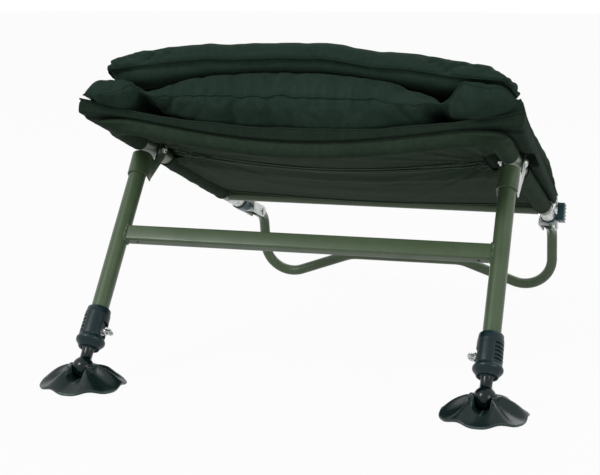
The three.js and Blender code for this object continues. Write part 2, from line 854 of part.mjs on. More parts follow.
function upperArm(name, side) {
  const x = side * railSpread;
  const half = tongueThickness / 2;
  const railFoot = Math.hypot(backFootStation - reclineStation,
    backRail(backFootStation) - reclineHeight);
  const at = (reach) => vec(x, ...alongRecline(reach));
  const teeth = new THREE.Shape(Array.from({ length: toothCount * 2 }, (_, index) => {
    const angle = (Math.PI * index) / toothCount;
    const radius = tongueRadius - (index % 2) * toothDepth;
    return new THREE.Vector2(reclineStation + radius * Math.cos(angle),
      reclineHeight + radius * Math.sin(angle));
  }));
  const bar = new THREE.BoxGeometry(tongueThickness, railFoot, tongueHeight);
  const [y, z] = alongRecline(railFoot / 2);
  bar.rotateX(Math.atan2(reclineHeight - backRail(backFootStation),
    reclineStation - backFootStation)).translate(x, y, z);
  const body = join(
    plate(teeth, x - half, x + half),
    bar,
    tube([at(railFoot - collarPlateLength), at(railFoot - fitGap)], railRadius),
    tube([at(railFoot - collarPlateLength), at(railFoot + armPlugLength)],
      railRadius - tubeWall - fitGap),
  );
  return named(name, cut(body, rodX(reclinePinRadius + fitGap, x - earRadius, x + earRadius,
    reclineStation, reclineHeight)),
    galvanised);
}

// A pin with a head at both ends, across a pair of plates
function pin(name, x, half, y, z, radius, look) {
  const reach = half + fitGap + pinHeadThickness;
  return named(name, join(
    rodX(radius, x - reach, x + reach, y, z),
    rodX(pinHeadRadius, x - reach, x - half - fitGap, y, z),
    rodX(pinHeadRadius, x + half + fitGap, x + reach, y, z),
  ), look);
}

function railEndGuard(name, side) {
  const x = side * railSpread;
  const outer = railRadius + fitGap + guardThickness;
  const end = armEndStation - fitGap;
  return named(name, cut(
    rodY(outer, end - guardLength, end, x, 0),
    rodY(railRadius + fitGap, end - guardLength - cutOverrun, end + cutOverrun, x, 0),
    box(x - outer - cutOverrun, x + outer + cutOverrun, end - guardLength - cutOverrun,
      end + cutOverrun, guardTop, outer * 2),
  ), blackPlastic);
}

function legCatch() {
  const guardFlat = (railRadius + fitGap + guardThickness) * Math.cos(Math.PI / tubeSides);
  const inner = railSpread + guardFlat + fitGap;
  const end = armEndStation - fitGap;
  const pitch = (catchTop + catchBottom) / catchRibCount;
  const grooves = spread(-catchBottom + pitch / 2, catchTop - pitch / 2,
    catchRibCount - 1).map((height) =>
    box(inner + catchWidth - catchRibDepth, inner + catchWidth + cutOverrun,
      end - catchLength - cutOverrun, end + cutOverrun,
      height - (pitch * catchRibShare) / 2, height + (pitch * catchRibShare) / 2));
  const block = box(inner, inner + catchWidth, end - catchLength, end, -catchBottom, catchTop);
  return named('leg_catch', cut(block, ...grooves), blackPlastic);
}

function clevis(name, side) {
  const x = side * rearLegSpread;
  const inner = rearLegRadius + fitGap;
  const start = armEndStation + fitGap;
  const cheek = outline([[start, -rearPivotDrop - clevisRadius],
    [rearPivotStation, -rearPivotDrop - clevisRadius]]);
  cheek.absarc(rearPivotStation, -rearPivotDrop, clevisRadius, -Math.PI / 2, Math.PI / 2);
  cheek.lineTo(start, clevisTop);
  return named(name, cut(
    join(
      plate(cheek, x - inner - clevisWall, x - inner),
      plate(cheek, x + inner, x + inner + clevisWall),
      box(x - inner - clevisWall, x + inner + clevisWall, start, start + clevisWall,
        -rearPivotDrop - clevisRadius, clevisTop),
    ),
    rodX(clevisPinRadius + fitGap, x - earRadius, x + earRadius, rearPivotStation, -rearPivotDrop),
  ), galvanised);
}

// The front leg pieces, in the legs' own frame: the bolt is the origin and z runs up the legs

function legTube(name, side) {
  const x = side * railSpread;
  return named(name, tube([vec(x, -legOffset, -legEndDrop), vec(x, -legOffset, -legTopDrop)], legRadius,
    legRadius - tubeWall),
    olivePaint);
}

function legBracket(name, side) {
  const x = side * railSpread;
  const inner = legRadius + bracketGap;
  const outer = inner + bracketWall;
  const cheek = outline([
    [-legOffset, -bracketDrop], [-bracketBackReach, -bracketDrop], [-bracketBackReach, -bracketBackDrop],
    [earTipReach, -earTipDrop], [earTopReach, earTopRise], [-earCrownReach, earCrownRise],
    [-earFrontReach, -bracketTopDrop], [-legOffset, -bracketTopDrop],
  ]);
  const sleeve = cut(
    rodZ(outer, -bracketDrop, -bracketTopDrop, x, -legOffset),
    rodZ(inner, -bracketDrop - cutOverrun, -bracketTopDrop + cutOverrun, x, -legOffset),
    box(x - outer - cutOverrun, x + outer + cutOverrun, -legOffset, outer, -bracketDrop - cutOverrun, 0),
  );
  return named(name, cut(
    join(sleeve, plate(cheek, x - outer, x - inner), plate(cheek, x + inner, x + outer)),
    rodX(boltRadius + fitGap, x - outer - cutOverrun, x + outer + cutOverrun, 0, 0),
  ), galvanised);
}

function legBolt(name, side) {
  const outer = legRadius + bracketGap + bracketWall + fitGap;
  const inner = outer + nutHeight + boltEnd;
  const x = side * railSpread;
  const ends = [x - side * inner, x + side * outer].sort((a, b) => a - b);
  const crown = boltHeadHeight * boltHeadCrownShare;
  const head = turned([[0, 0], [boltHeadRadius, 0], [boltHeadRadius * boltHeadEdgeShare, crown],
    [boltHeadRadius * boltHeadTopShare, boltHeadHeight], [0, boltHeadHeight]]);
  head.rotateY((side * Math.PI) / 2).translate(x + side * outer, 0, 0);
  return named(name, join(rodX(boltRadius, ...ends, 0, 0), head), galvanised);
}

function legNut(name, side) {
  const outer = legRadius + bracketGap + bracketWall + fitGap;
  const x = side * railSpread;
  const ends = [x - side * outer, x - side * (outer + nutHeight)].sort((a, b) => a - b);
  return named(name, cut(
    rodX(nutRadius, ...ends, 0, 0, nutSides),
    rodX(boltRadius + fitGap, ends[0] - cutOverrun, ends[1] + cutOverrun, 0, 0),
  ), galvanised);
}

function roundedBar(height, depth, rounding) {
  const shape = new THREE.Shape();
  const right = depth / 2 - rounding;
  const top = height / 2 - rounding;
  shape.absarc(right, top, rounding, 0, Math.PI / 2);
  shape.absarc(-right, top, rounding, Math.PI / 2, Math.PI);
  shape.absarc(-right, -top, rounding, Math.PI, (3 * Math.PI) / 2);
  shape.absarc(right, -top, rounding, (3 * Math.PI) / 2, 2 * Math.PI);
  return shape;
}

function legCrossbar() {
  const half = railSpread - crossbarLap;
  const section = (inset) => {
    const shape = roundedBar(crossbarHeight - 2 * inset, crossbarDepth - 2 * inset,
      crossbarRounding - inset);
    const bar = new THREE.ExtrudeGeometry(shape, { depth: 2 * half + 2 * inset, bevelEnabled: false,
      curveSegments: 3 });
    const sideways = new THREE.Matrix4().makeBasis(vec(0, 1, 0), vec(0, 0, 1), vec(1, 0, 0));
    return bar.applyMatrix4(sideways).translate(-half - inset, -legOffset, -crossbarDrop);
  };
  const legSpread = railSpread + (crossbarDrop - splayDrop) * Math.sin(deg(legSplay));
  const legs = Object.values(sides).map((side) => rodZ(legRadius + copeGap,
    -crossbarDrop - crossbarHeight,
    -crossbarDrop + crossbarHeight, side * legSpread, -legOffset, turnedSides));
  const vents = Object.values(sides).map((side) =>
    rodZ(ventRadius, -crossbarDrop - crossbarHeight, -crossbarDrop, side * (railSpread - ventInset),
      -legOffset, innerSides));
  return named('leg_crossbar', cut(section(0), section(crossbarWall), ...legs, ...vents), olivePaint);
}

function adjusterCollar(name, side) {
  const x = side * railSpread;
  const bore = legRadius + fitGap;
  const guide = innerLegRadius + fitGap;
  const step = -legEndDrop - fitGap;
  const ribs = spread(0, collarRibCount - 1, collarRibCount - 1).flatMap((rib) => {
    const top = -collarRibDrop - rib * collarRibPitch;
    const land = collarRibPitch * collarRibShare;
    return [[collarRadius, top], [collarRadius, top - land], [collarRadius - collarRibDepth, top - land],
      [collarRadius - collarRibDepth, top - collarRibPitch]];
  });
  const body = turned([
    [bore, -collarTopDrop], [collarTopRadius, -collarTopDrop],
      [collarTopRadius, -collarTopDrop - collarTopLength],
    ...ribs, [collarRadius, -collarFlangeDrop + fitGap], [collarFlangeRadius, -collarFlangeDrop],
    [collarFlangeRadius, -collarFlangeDrop - collarFlangeHeight], [collarTopRadius, -collarEndDrop],
      [guide, -collarEndDrop],
    [guide, step], [bore, step], [bore, -collarTopDrop],
  ]).translate(x, -legOffset, 0);
  const window = [x - side * windowReach, x - side * (collarFlangeRadius + cutOverrun)].sort((a, b) =>
    a - b);
  const hole = [x - side * (windowReach + cutOverrun), x].sort((a, b) => a - b);
  return named(name, cut(
    body,
    box(...window, -legOffset - windowWidth / 2, -legOffset + windowWidth / 2,
      -windowDrop - windowHeight / 2, -windowDrop + windowHeight / 2),
    rodX(screwRadius + fitGap, ...hole, -legOffset, -windowDrop),
  ), blackPlastic);
}

function wingScrew(name, side) {
  const x = side * railSpread;
  const hub = x - side * (windowReach + fitGap);
  const tip = x - side * (innerLegRadius + fitGap * 2);
  const order = (...ends) => ends.sort((a, b) => a - b);
  const ears = [-1, 1].map((wing) => rodZ(wingRadius, -windowDrop - wingThickness / 2,
    -windowDrop + wingThickness / 2,
    hub - side * (wingHubLength + wingRadius - clothGap), -legOffset + wing * wingOffset));
  return named(name, join(
    rodX(screwRadius, ...order(hub - side * wingHubLength, tip), -legOffset, -windowDrop),
    rodX(wingHubRadius, ...order(hub, hub - side * wingHubLength), -legOffset, -windowDrop),
    rodX(screwRadius, ...order(hub, hub - side * (wingHubLength + wingRadius)), -legOffset, -windowDrop),
    ...ears,
  ), galvanised);
}

function innerLeg(name, side) {
  const shoulderAngle = Math.asin(shoulderRadius / ballRadius);
  const ball = spread(shoulderAngle, Math.PI, ballRowCount).map((angle) =>
    [ballRadius * Math.sin(angle), -ballDrop + ballRadius * Math.cos(angle)]);
  const bore = innerLegRadius - innerLegWall;
  return named(name, turned([
    [0, -innerLegPlugDrop], [bore, -innerLegPlugDrop], [bore, -innerLegTopDrop],
      [innerLegRadius, -innerLegTopDrop],
    [innerLegRadius, -innerLegEndDrop], [neckRadius, -innerLegEndDrop], [neckRadius, -neckEndDrop],
    ...ball.slice(0, -1), [0, -ballDrop - ballRadius],
  ]).translate(side * railSpread, -legOffset, 0), olivePaint);
}

// A mud foot, with the ball's centre as its origin: a fluted cone whose rim lifts at each ridge
function mudFoot(name) {
  const lobe = (angle) => (1 - Math.cos(footLobes * (angle + Math.PI / 2))) / 2;
  const rim = (angle) => footRadius * (1 - footLobeShare * lobe(angle));
  const shares = spread(0, 1, footRings);
  const low = (share, angle) => footLift * share ** 2 * lobe(angle) - footBallHeight;
  const high = (share, angle) => lerp(footHubHeight, footRimThickness, share)
    + lobe(angle) * lerp(footRidgeRise, footLift, share) - footBallHeight;
  const point = (radius, angle, height) => vec(radius * Math.cos(angle), radius * Math.sin(angle),
    height);
  const positions = [];
  const indices = [];
  const rows = [
    ...shares.map((share) => (angle) =>
      point(lerp(footFlatRadius, rim(angle), share), angle, low(share, angle))),
    ...shares.toReversed().map((share) => (angle) =>
      point(lerp(footHubRadius, rim(angle), share), angle, high(share, angle))),
  ];
  for (const row of rows) {
    for (let side = 0; side < footSides; side++) {
      const at = row((2 * Math.PI * side) / footSides);
      positions.push(at.x, at.y, at.z);
    }
  }
  const bottomCentre = rows.length * footSides;
  positions.push(0, 0, -footBallHeight, 0, 0, footHubHeight - footBallHeight);
  for (let side = 0; side < footSides; side++) {
    const next = (side + 1) % footSides;
    indices.push(bottomCentre, next, side);
    for (let row = 0; row < rows.length - 1; row++) {
      const a = row * footSides;
      indices.push(a + side, a + next, a + footSides + side, a + next, a + footSides + next,
        a + footSides + side);
    }
    const last = (rows.length - 1) * footSides;
    indices.push(bottomCentre + 1, last + side, last + next);
  }
  const geometry = new THREE.BufferGeometry();
  geometry.setAttribute('position', new THREE.Float32BufferAttribute(positions, 3));
  geometry.setIndex(indices);
  const hub = rodZ(footCollarRadius, -footBallHeight + footRimThickness,
    footCollarHeight - footBallHeight, 0, 0, turnedSides);
  const socket = new THREE.SphereGeometry(ballRadius + socketGap, turnedSides,
    turnedSides / 2).rotateX(Math.PI / 2);
  const mouth = box(-footSlotWidth / 2, footSlotWidth / 2, -footCollarRadius - cutOverrun, 0,
    footSlotHeight - footBallHeight, footCollarHeight);
  const neckRoom = [-footTilt, 0, footTilt].map((tilt) => {
    const reach = footCollarHeight;
    return new THREE.CylinderGeometry(neckClearance, neckClearance, reach, turnedSides).translate(0,
      reach / 2, 0)
      .rotateX(Math.PI / 2 - deg(legRake + tilt));
  });
  return named(name, cut(join(facingOut(geometry), hub), socket, mouth, ...neckRoom), blackPlastic);
}

function rearLegStations() {
  const run = rearLegRun / (rearElbowZ - rearLegRadius);
  const at = (x, z) => vec(x, rearElbowY + (rearElbowZ - z) * run, z);
  const tilt = deg(rearMiddleSlope);
  const rise = rearCornerRadius * (1 - Math.cos(tilt) - (1 + Math.sin(tilt)) * Math.tan(tilt));
  const cornerZ = rearLegRadius + rise;
  const middleZ = cornerZ + (rearLegSpread - rearMiddleHalf) * Math.tan(tilt);
  const end = vec(rearLegSpread, rearPivotY - rearTubeEnd * Math.cos(slope),
    rearPivotZ + rearTubeEnd * Math.sin(slope));
  const right = [
    { at: end },
    { at: vec(rearLegSpread, rearElbowY, rearElbowZ), radius: rearElbowRadius },
    { at: at(rearLegSpread, cornerZ), radius: rearCornerRadius },
    { at: at(rearMiddleHalf, middleZ), radius: rearMiddleRadius },
  ];
  const left = right.map(({ at: place, radius }) => ({ at: vec(-place.x, place.y, place.z), radius }));
  return rounded([...left, ...right.toReversed()]);
}

function rearLeg() {
  const bent = tube(rearLegStations(), rearLegRadius, rearLegRadius - tubeWall);
  const reach = rearLegSpread + rearLegRadius + cutOverrun;
  const hole = rodX(clevisPinRadius + fitGap, -reach, reach, rearPivotY, rearPivotZ);
  return named('rear_leg_tube', cut(bent, hole), olivePaint);
}

const root = new THREE.Group();
root.position.set(0, -originY, 0);

const seatGroup = new THREE.Group();
seatGroup.position.set(0, 0, seatFrontHeight);
seatGroup.rotation.x = -slope;
root.add(seatGroup, rearLeg());
seatGroup.add(seatFrame(), seatCrossTube(), frontSling(), rearSling(), seatPad(), seatMattress());
seatGroup.add(backrestFrame(), backrestSling(), backrestCushion(), legCatch());

const legGroup = new THREE.Group();
legGroup.position.set(0, boltY, boltHeight);
legGroup.rotation.x = -rake;
root.add(legGroup);
legGroup.add(legCrossbar());

for (const [word, side] of Object.entries(sides)) {
  const pinHalf = tongueThickness / 2 + fitGap + earThickness;
  seatGroup.add(
    ratchetArm(`ratchet_arm_${word}`, side),
    upperArm(`ratchet_upper_arm_${word}`, side),
    pin(`ratchet_pin_${word}`, side * railSpread, pinHalf, reclineStation, reclineHeight,
      reclinePinRadius, galvanised),
    railEndGuard(`rail_end_guard_${word}`, side),
    clevis(`rear_leg_clevis_${word}`, side),
    pin(`rear_leg_pin_${word}`, side * rearLegSpread, rearLegRadius + fitGap + clevisWall,
      rearPivotStation, -rearPivotDrop,
      clevisPinRadius, galvanised),
  );
  legGroup.add(legBracket(`leg_bracket_${word}`, side), legBolt(`leg_bolt_${word}`, side),
    legNut(`leg_nut_${word}`, side));

  // Each leg leans out a little, turned about its bracket
  const splayed = new THREE.Group();
  splayed.position.set(side * railSpread, 0, -splayDrop);
  splayed.rotation.y = -side * deg(legSplay);
  const inPlace = new THREE.Group();
  inPlace.position.set(-side * railSpread, 0, splayDrop);
  splayed.add(inPlace);
  legGroup.add(splayed);
  inPlace.add(
    legTube(`leg_tube_${word}`, side),
    adjusterCollar(`adjuster_collar_${word}`, side),
    wingScrew(`wing_screw_${word}`, side),
    innerLeg(`inner_leg_${word}`, side),
  );

  const foot = mudFoot(`mud_foot_${word}`);
  foot.position.set(side * (railSpread + (ballDrop - splayDrop) * Math.sin(deg(legSplay))), footY,
    footBallHeight);
  root.add(foot);
}

export default root;
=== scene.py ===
"""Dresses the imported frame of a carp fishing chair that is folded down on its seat.

Bent tubes, steel fittings and plastic feet are modelled smooth over their solids. The pad, the
mattress, the cushion and the slings are made as sewn cloth. Lengths are in metres, +Z is up and
the front of the seat faces -Y.
"""

import logging
import math
from dataclasses import dataclass, field
from enum import Enum
from typing import Callable, Sequence

import bpy
import numpy as np
from mathutils import Matrix, Vector


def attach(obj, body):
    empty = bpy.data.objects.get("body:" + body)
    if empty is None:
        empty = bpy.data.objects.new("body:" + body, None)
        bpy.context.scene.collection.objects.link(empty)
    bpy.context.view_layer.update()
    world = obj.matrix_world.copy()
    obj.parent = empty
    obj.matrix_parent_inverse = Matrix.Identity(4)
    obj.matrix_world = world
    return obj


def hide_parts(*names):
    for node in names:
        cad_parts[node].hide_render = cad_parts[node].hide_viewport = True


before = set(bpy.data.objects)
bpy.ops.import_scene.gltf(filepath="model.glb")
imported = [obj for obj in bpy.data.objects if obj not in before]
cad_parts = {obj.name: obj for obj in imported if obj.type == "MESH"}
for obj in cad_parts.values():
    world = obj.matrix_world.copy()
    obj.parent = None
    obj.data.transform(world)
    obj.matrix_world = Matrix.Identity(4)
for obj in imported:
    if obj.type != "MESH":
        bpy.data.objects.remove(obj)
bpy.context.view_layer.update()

Grid = np.ndarray
Piece = bpy.types.Object
Finish = bpy.types.Material
Socket = bpy.types.NodeSocket
Outline = Sequence[tuple[float, float]]
Faces = Sequence[tuple[int, ...]]

log = logging.getLogger("carp_chair")

SIDES = {"left": -1, "right": 1}


class Slot(Enum):
    """The record's material slots."""

    PAINT = "olive_paint"
    STEEL = "galvanised_steel"
    PLASTIC = "black_plastic"
    SLING = "seat_cloth"
    CUSHION = "mattress_cloth"


class Body(Enum):
    """The moving bodies that pieces ride on."""

    SEAT = "seat"
    LEGS = "front_legs"
    REAR_LEG = "rear_leg"
    BACKREST = "backrest"


# Shapes


def smoothstep(value: Grid | float, low: float, high: float) -> Grid:
    """Rises softly from 0 at low to 1 at high."""
    share = np.clip((np.asarray(value, float) - low) / (high - low), 0.0, 1.0)
    return share * share * (3.0 - 2.0 * share)


def ramp(value: Grid | float, low: float, high: float) -> Grid:
    """Rises evenly from 0 at low to 1 at high."""
    return np.clip((np.asarray(value, float) - low) / (high - low), 0.0, 1.0)


def bump(value: Grid | float, centre: float, width: float) -> Grid:
    """A soft hill of height 1 at centre."""
    return np.exp(-(((np.asarray(value, float) - centre) / width) ** 2))


def wrinkle(along: Grid, across: Grid, pitch: float, seed: int) -> Grid:
    """Uneven folds, from -1 to 1, that run across the first coordinate.

    Args:
        along: the coordinate over which the folds repeat.
        across: the coordinate along which each fold runs and wanders.
        pitch: the mean distance between folds.
        seed: picks one of the patterns.

    Returns:
        The fold height at each point.
    """
    rng = np.random.default_rng(seed)
    total = np.zeros(np.broadcast(along, across).shape)
    for share in (0.6, 1.0, 1.7, 2.9):
        turn, drift, sway = rng.uniform(0, 2 * math.pi), rng.uniform(-0.35, 0.35), rng.uniform(2, 5)
        phase = along * share + across * drift + 0.3 * pitch * np.sin(across / pitch * share / sway + turn)
        total += np.sin(2 * math.pi * phase / pitch + turn * 3) / (share + 0.4)
    return total / 2.2


@dataclass(frozen=True)
class Slant:
    """A slanted plane of the chair: x across, s along it and n square to it."""

    y: float
    z: float
    lean: float

    def place(self, points: Grid) -> Grid:
        """Turns (x, s, n) points into points of the chair's frame."""
        cos, sin = math.cos(self.lean), math.sin(self.lean)
        x, s, n = points[..., 0], points[..., 1], points[..., 2]
        return np.stack([x, self.y + s * cos + n * sin, self.z - s * sin + n * cos], -1)

    def matrix(self) -> Matrix:
        """The same move as a matrix."""
        return Matrix.Translation((0, self.y, self.z)) @ Matrix.Rotation(-self.lean, 4, "X")


SEAT = Slant(-0.321019, 0.36448, math.radians(18.3))
LEGS = Slant(-0.131134, 0.301682, math.radians(39.46))


@dataclass(frozen=True)
class ChairLines:
    """The sizes that the cloth and the tubes share, and the surfaces that follow from them."""

    rail: float = 0.274
    tube: float = 0.0125
    front: float = 0.014
    bend: float = 0.050
    rail_end: float = 0.585
    cross: float = 0.572
    front_bow: float = 0.028
    rear_sag: float = 0.006
    sleeve: float = 0.0145
    sleeve_cloth: float = 0.0012
    panel: float = 0.001
    gap: float = 0.0006
    pad_half: float = 0.311
    pad_rear_half: float = 0.296
    pad_front: float = -0.008
    pad_rear: float = 0.556
    pad_thickness: float = 0.020
    pad_edge: tuple[float, float] = (0.027, 0.020)
    back_top_half: float = 0.262
    back_top: float = -0.006
    back_bow: tuple[float, float] = (0.028, 0.004)
    back_sleeve_end: float = 0.590
    back_line: tuple[tuple[float, float], ...] = ((-0.006, 0.062), (0.2, 0.068), (0.5, 0.057), (0.69, 0.024))
    cushion: float = 0.0224

    @staticmethod
    def bow(x: Grid, half: float) -> Grid:
        """1 in the middle of a bowed bar and 0 at its ends."""
        return np.maximum(0.0, 1.0 - (x / half) ** 2) ** 1.5

    def seat_panel(self, x: Grid, s: Grid) -> Grid:
        """Height of the seat sling's middle."""
        sag = self.front_bow + (self.rear_sag - self.front_bow) * ramp(s, self.front, self.cross)
        return -sag * self.bow(x, self.rail)

    def back_rail(self, s: Grid) -> Grid:
        """Height of the backrest's side tubes."""
        stations, heights = zip(*self.back_line)
        return np.interp(s, stations, heights)

    def back_panel(self, x: Grid, s: Grid) -> Grid:
        """Height of the backrest sling's middle."""
        low, high = self.back_bow[1], self.back_bow[0]
        bow = high + (low - high) * ramp(s, self.back_top, self.back_sleeve_end)
        return self.back_rail(s) + bow * self.bow(x, self.back_top_half)

    def back_spread(self, s: Grid) -> Grid:
        """Half the distance between the backrest's side tubes."""
        return self.back_top_half + (self.rail - self.back_top_half) * ramp(s, self.back_top, 0.5)

    def pad_edge_x(self, s: Grid) -> Grid:
        """Half the width of the pad."""
        return self.pad_half + (self.pad_rear_half - self.pad_half) * ramp(s, 0, self.pad_rear)

    def pad_top(self, x: Grid, s: Grid) -> Grid:
        """Height of the pad's top."""
        middle = self.seat_panel(0.0 * x, s) + self.panel + self.gap + self.pad_thickness
        edge = self.pad_edge[0] + (self.pad_edge[1] - self.pad_edge[0]) * ramp(s, 0, self.pad_rear)
        share = np.minimum(1.0, np.abs(x) / self.pad_edge_x(s)) ** 2.2
        return middle + (edge - middle) * share

    def cushion_floor(self, x: Grid, s: Grid) -> Grid:
        """Height at which the backrest cushion meets the mattress."""
        inside = np.minimum(np.abs(x), self.back_top_half)
        return self.back_panel(inside, s) - self.cushion

    def bar_distance(self, x: Grid, s: Grid) -> Grid:
        """Distance in the seat's plane from the middle of the seat's bent tube."""
        across, ahead = np.abs(x) - (self.rail - self.bend), (self.front + self.bend) - s
        corner = np.abs(np.hypot(np.maximum(across, 0), np.maximum(ahead, 0)) - self.bend)
        straight = np.where(ahead <= 0, np.abs(np.abs(x) - self.rail), np.abs(s - self.front))
        return np.where((across > 0) & (ahead > 0), corner, straight)


LINES = ChairLines()


def rounded_path(corners: Sequence[tuple[Sequence[float], float]], step: float = math.radians(7)) -> Grid:
    """Turns a polyline of (point, radius) corners into points, with arcs at the rounded ones."""
    points: list[Grid] = []
    places = [np.array(at, float) for at, _ in corners]
    for index, (at, radius) in enumerate(zip(places, (radius for _, radius in corners))):
        if not radius:
            points.append(at)
            continue
        back = places[index - 1] - at
        ahead = places[index + 1] - at
        back, ahead = back / np.linalg.norm(back), ahead / np.linalg.norm(ahead)
        half = math.acos(float(np.clip(back @ ahead, -1, 1))) / 2
        mid = (back + ahead) / np.linalg.norm(back + ahead)
        centre = at + mid * radius / math.sin(half)
        first = at + back * radius / math.tan(half) - centre
        last = at + ahead * radius / math.tan(half) - centre
        turn = math.pi - 2 * half
        for share in np.linspace(0, 1, max(2, math.ceil(turn / step)) + 1):
            mix = (math.sin((1 - share) * turn) * first + math.sin(share * turn) * last) / math.sin(turn)
            points.append(centre + mix)
    return np.array(points)


def run_of(path: Grid) -> Grid:
    """The length along a line at each of its points."""
    return np.concatenate([[0], np.cumsum(np.linalg.norm(np.diff(path, axis=0), axis=1))])


def picked(path: Grid, run: Grid, places: Grid) -> Grid:
    """The line's values at those lengths along it."""
    return np.stack([np.interp(places, run, path[:, axis]) for axis in range(path.shape[1])], -1)


def resampled(path: Grid, pitch: float) -> Grid:
    """The same line with points an even distance apart."""
    run = run_of(path)
    return picked(path, run, np.linspace(0, run[-1], max(2, round(run[-1] / pitch)) + 1))


def finer(line: Grid, count: int) -> Grid:
    """The same line with that many points, evenly apart."""
    run = run_of(line)
    return picked(line, run, np.linspace(0, run[-1], count))


def frames_along(path: Grid, up: Sequence[float] = (0, 0, 1)) -> tuple[Grid, Grid]:
    """The outward and upward directions at each point of a line that lies nearly flat."""
    tangent = np.gradient(path, axis=0)
    tangent /= np.linalg.norm(tangent, axis=1, keepdims=True)
    outward = np.cross(tangent, np.array(up, float))
    outward /= np.linalg.norm(outward, axis=1, keepdims=True)
    return outward, np.cross(outward, tangent)


def swept(path: Grid, section: Grid) -> Grid:
    """Carries a section of (outward, up) points along a line, one for all its points or one for each."""
    outward, upward = frames_along(path)
    if section.ndim == 2:
        section = np.broadcast_to(section, (len(path), *section.shape))
    return path[:, None] + section[..., :1] * outward[:, None] + section[..., 1:] * upward[:, None]


def ring(radius: float, count: int) -> Grid:
    """A round section."""
    angle = np.linspace(0, 2 * math.pi, count, endpoint=False)
    return radius * np.stack([np.cos(angle), np.sin(angle)], -1)


# Work on meshes


def deselect() -> None:
    """Leaves object mode with nothing selected."""
    if bpy.context.object and bpy.context.object.mode != "OBJECT":
        bpy.ops.object.mode_set(mode="OBJECT")
    bpy.ops.object.select_all(action="DESELECT")


def take(piece: Piece) -> None:
    """Makes one piece the selected and active one."""
    deselect()
    piece.select_set(True)
    bpy.context.view_layer.objects.active = piece


def added(kind: Callable[..., object], name: str = "", **settings: object) -> Piece:
    """Adds one of Blender's own shapes, lamps or cameras."""
    deselect()
    kind(**settings)
    piece = bpy.context.object
    if name:
        piece.name = piece.data.name = name
    return piece


def in_edit(piece: Piece, *steps: Callable[[], object]) -> None:
    """Runs steps in edit mode with the whole piece selected."""
    take(piece)
    bpy.ops.object.mode_set(mode="EDIT")
    bpy.ops.mesh.select_all(action="SELECT")
    for step in steps:
        step()
    bpy.ops.object.mode_set(mode="OBJECT")


def mended(piece: Piece, distance: float = 1e-6) -> Piece:
    """Merges doubles and turns every face outwards."""
    in_edit(
        piece,
        lambda: bpy.ops.mesh.remove_doubles(threshold=distance),
        lambda: bpy.ops.mesh.normals_make_consistent(inside=False),
    )
    return piece


def modified(piece: Piece, kind: str, **settings: object) -> Piece:
    """Adds a modifier and applies it."""
    take(piece)
    modifier = piece.modifiers.new(kind.lower(), kind)
    for name, value in settings.items():
        setattr(modifier, name, value)
    bpy.ops.object.modifier_apply(modifier=modifier.name)
    return piece


def soft_shaded(piece: Piece, angle: float = 40) -> Piece:
    """Shades a piece smooth but for its sharp edges."""
    take(piece)
    bpy.ops.object.shade_smooth_by_angle(angle=math.radians(angle))
    return piece


def cloth_mesh(name: str, points: Grid, faces: Faces, uv: Grid) -> Piece:
    """Makes a smooth cloth piece from its points and faces.

    Args:
        name: the piece's name.
        points: its points, in the chair's frame.
        faces: its faces, turned outwards here.
        uv: each point's place on the flat cloth, in metres.

    Returns:
        The new piece.
    """
    mesh = bpy.data.meshes.new(name)
    mesh.from_pydata(points.tolist(), [], faces)
    layer = mesh.uv_layers.new(name="cloth")
    corners = np.array([loop.vertex_index for loop in mesh.loops])
    layer.data.foreach_set("uv", uv[corners].astype(np.float32).ravel())
    mesh.update()
    piece = bpy.data.objects.new(name, mesh)
    bpy.context.collection.objects.link(piece)
    in_edit(piece, lambda: bpy.ops.mesh.normals_make_consistent(inside=False))
    piece.data.polygons.foreach_set("use_smooth", [True] * len(piece.data.polygons))
    return piece


def skin(name: str, grid: Grid, wrap: bool = False, caps: bool = False, uv: Grid | None = None) -> Piece:
    """Makes a mesh from rows of points.

    Args:
        name: the piece's name.
        grid: rows of points, rows by columns by 3.
        wrap: joins each row's last point to its first.
        caps: closes the first and last row of a wrapped grid.
        uv: cloth coordinates in metres, rows by columns by 2; each row's own length if left out.

    Returns:
        The new piece, with its place in its mesh.
    """
    rows, count = grid.shape[:2]
    if uv is None:
        along = np.concatenate([[0], np.cumsum(np.linalg.norm(np.diff(grid, axis=0), axis=2).mean(1))])
        across = np.concatenate([[0], np.cumsum(np.linalg.norm(np.diff(grid, axis=1), axis=2).mean(0))])
        uv = np.stack(np.meshgrid(across, along), -1)
    columns = count if wrap else count - 1
    faces = []
    for row in range(rows - 1):
        for column in range(columns):
            a, b = row * count + column, row * count + (column + 1) % count
            faces.append((a, b, b + count, a + count))
    if caps:
        faces += [tuple(range(count))[::-1], tuple(range((rows - 1) * count, rows * count))]
    return cloth_mesh(name, grid.reshape(-1, 3), faces, uv.reshape(-1, 2))


def closed_grid(upper: Grid, lower: Grid) -> tuple[Grid, list[tuple[int, ...]], Grid]:
    """Joins an upper and a lower grid round their shared edge.

    Args:
        upper: rows of points of the upper surface.
        lower: rows of points of the lower one, of the same size; its outer points aren't used.

    Returns:
        The points, the faces, and a mask of the points on the shared edge.
    """
    rows, count = upper.shape[:2]
    top = np.arange(rows * count).reshape(rows, count)
    low = top.copy()
    low[1:-1, 1:-1] = rows * count + np.arange((rows - 2) * (count - 2)).reshape(rows - 2, count - 2)
    points = np.concatenate([upper.reshape(-1, 3), lower[1:-1, 1:-1].reshape(-1, 3)])
    faces = []
    for side, order in ((top, 1), (low, -1)):
        quads = np.stack([side[:-1, :-1], side[:-1, 1:], side[1:, 1:], side[1:, :-1]], -1).reshape(-1, 4)
        faces += [tuple(quad[::order]) for quad in quads.tolist()]
    edge = np.zeros(len(points), bool)
    edge[np.concatenate([top[0], top[-1], top[:, 0], top[:, -1]])] = True
    return points, faces, edge


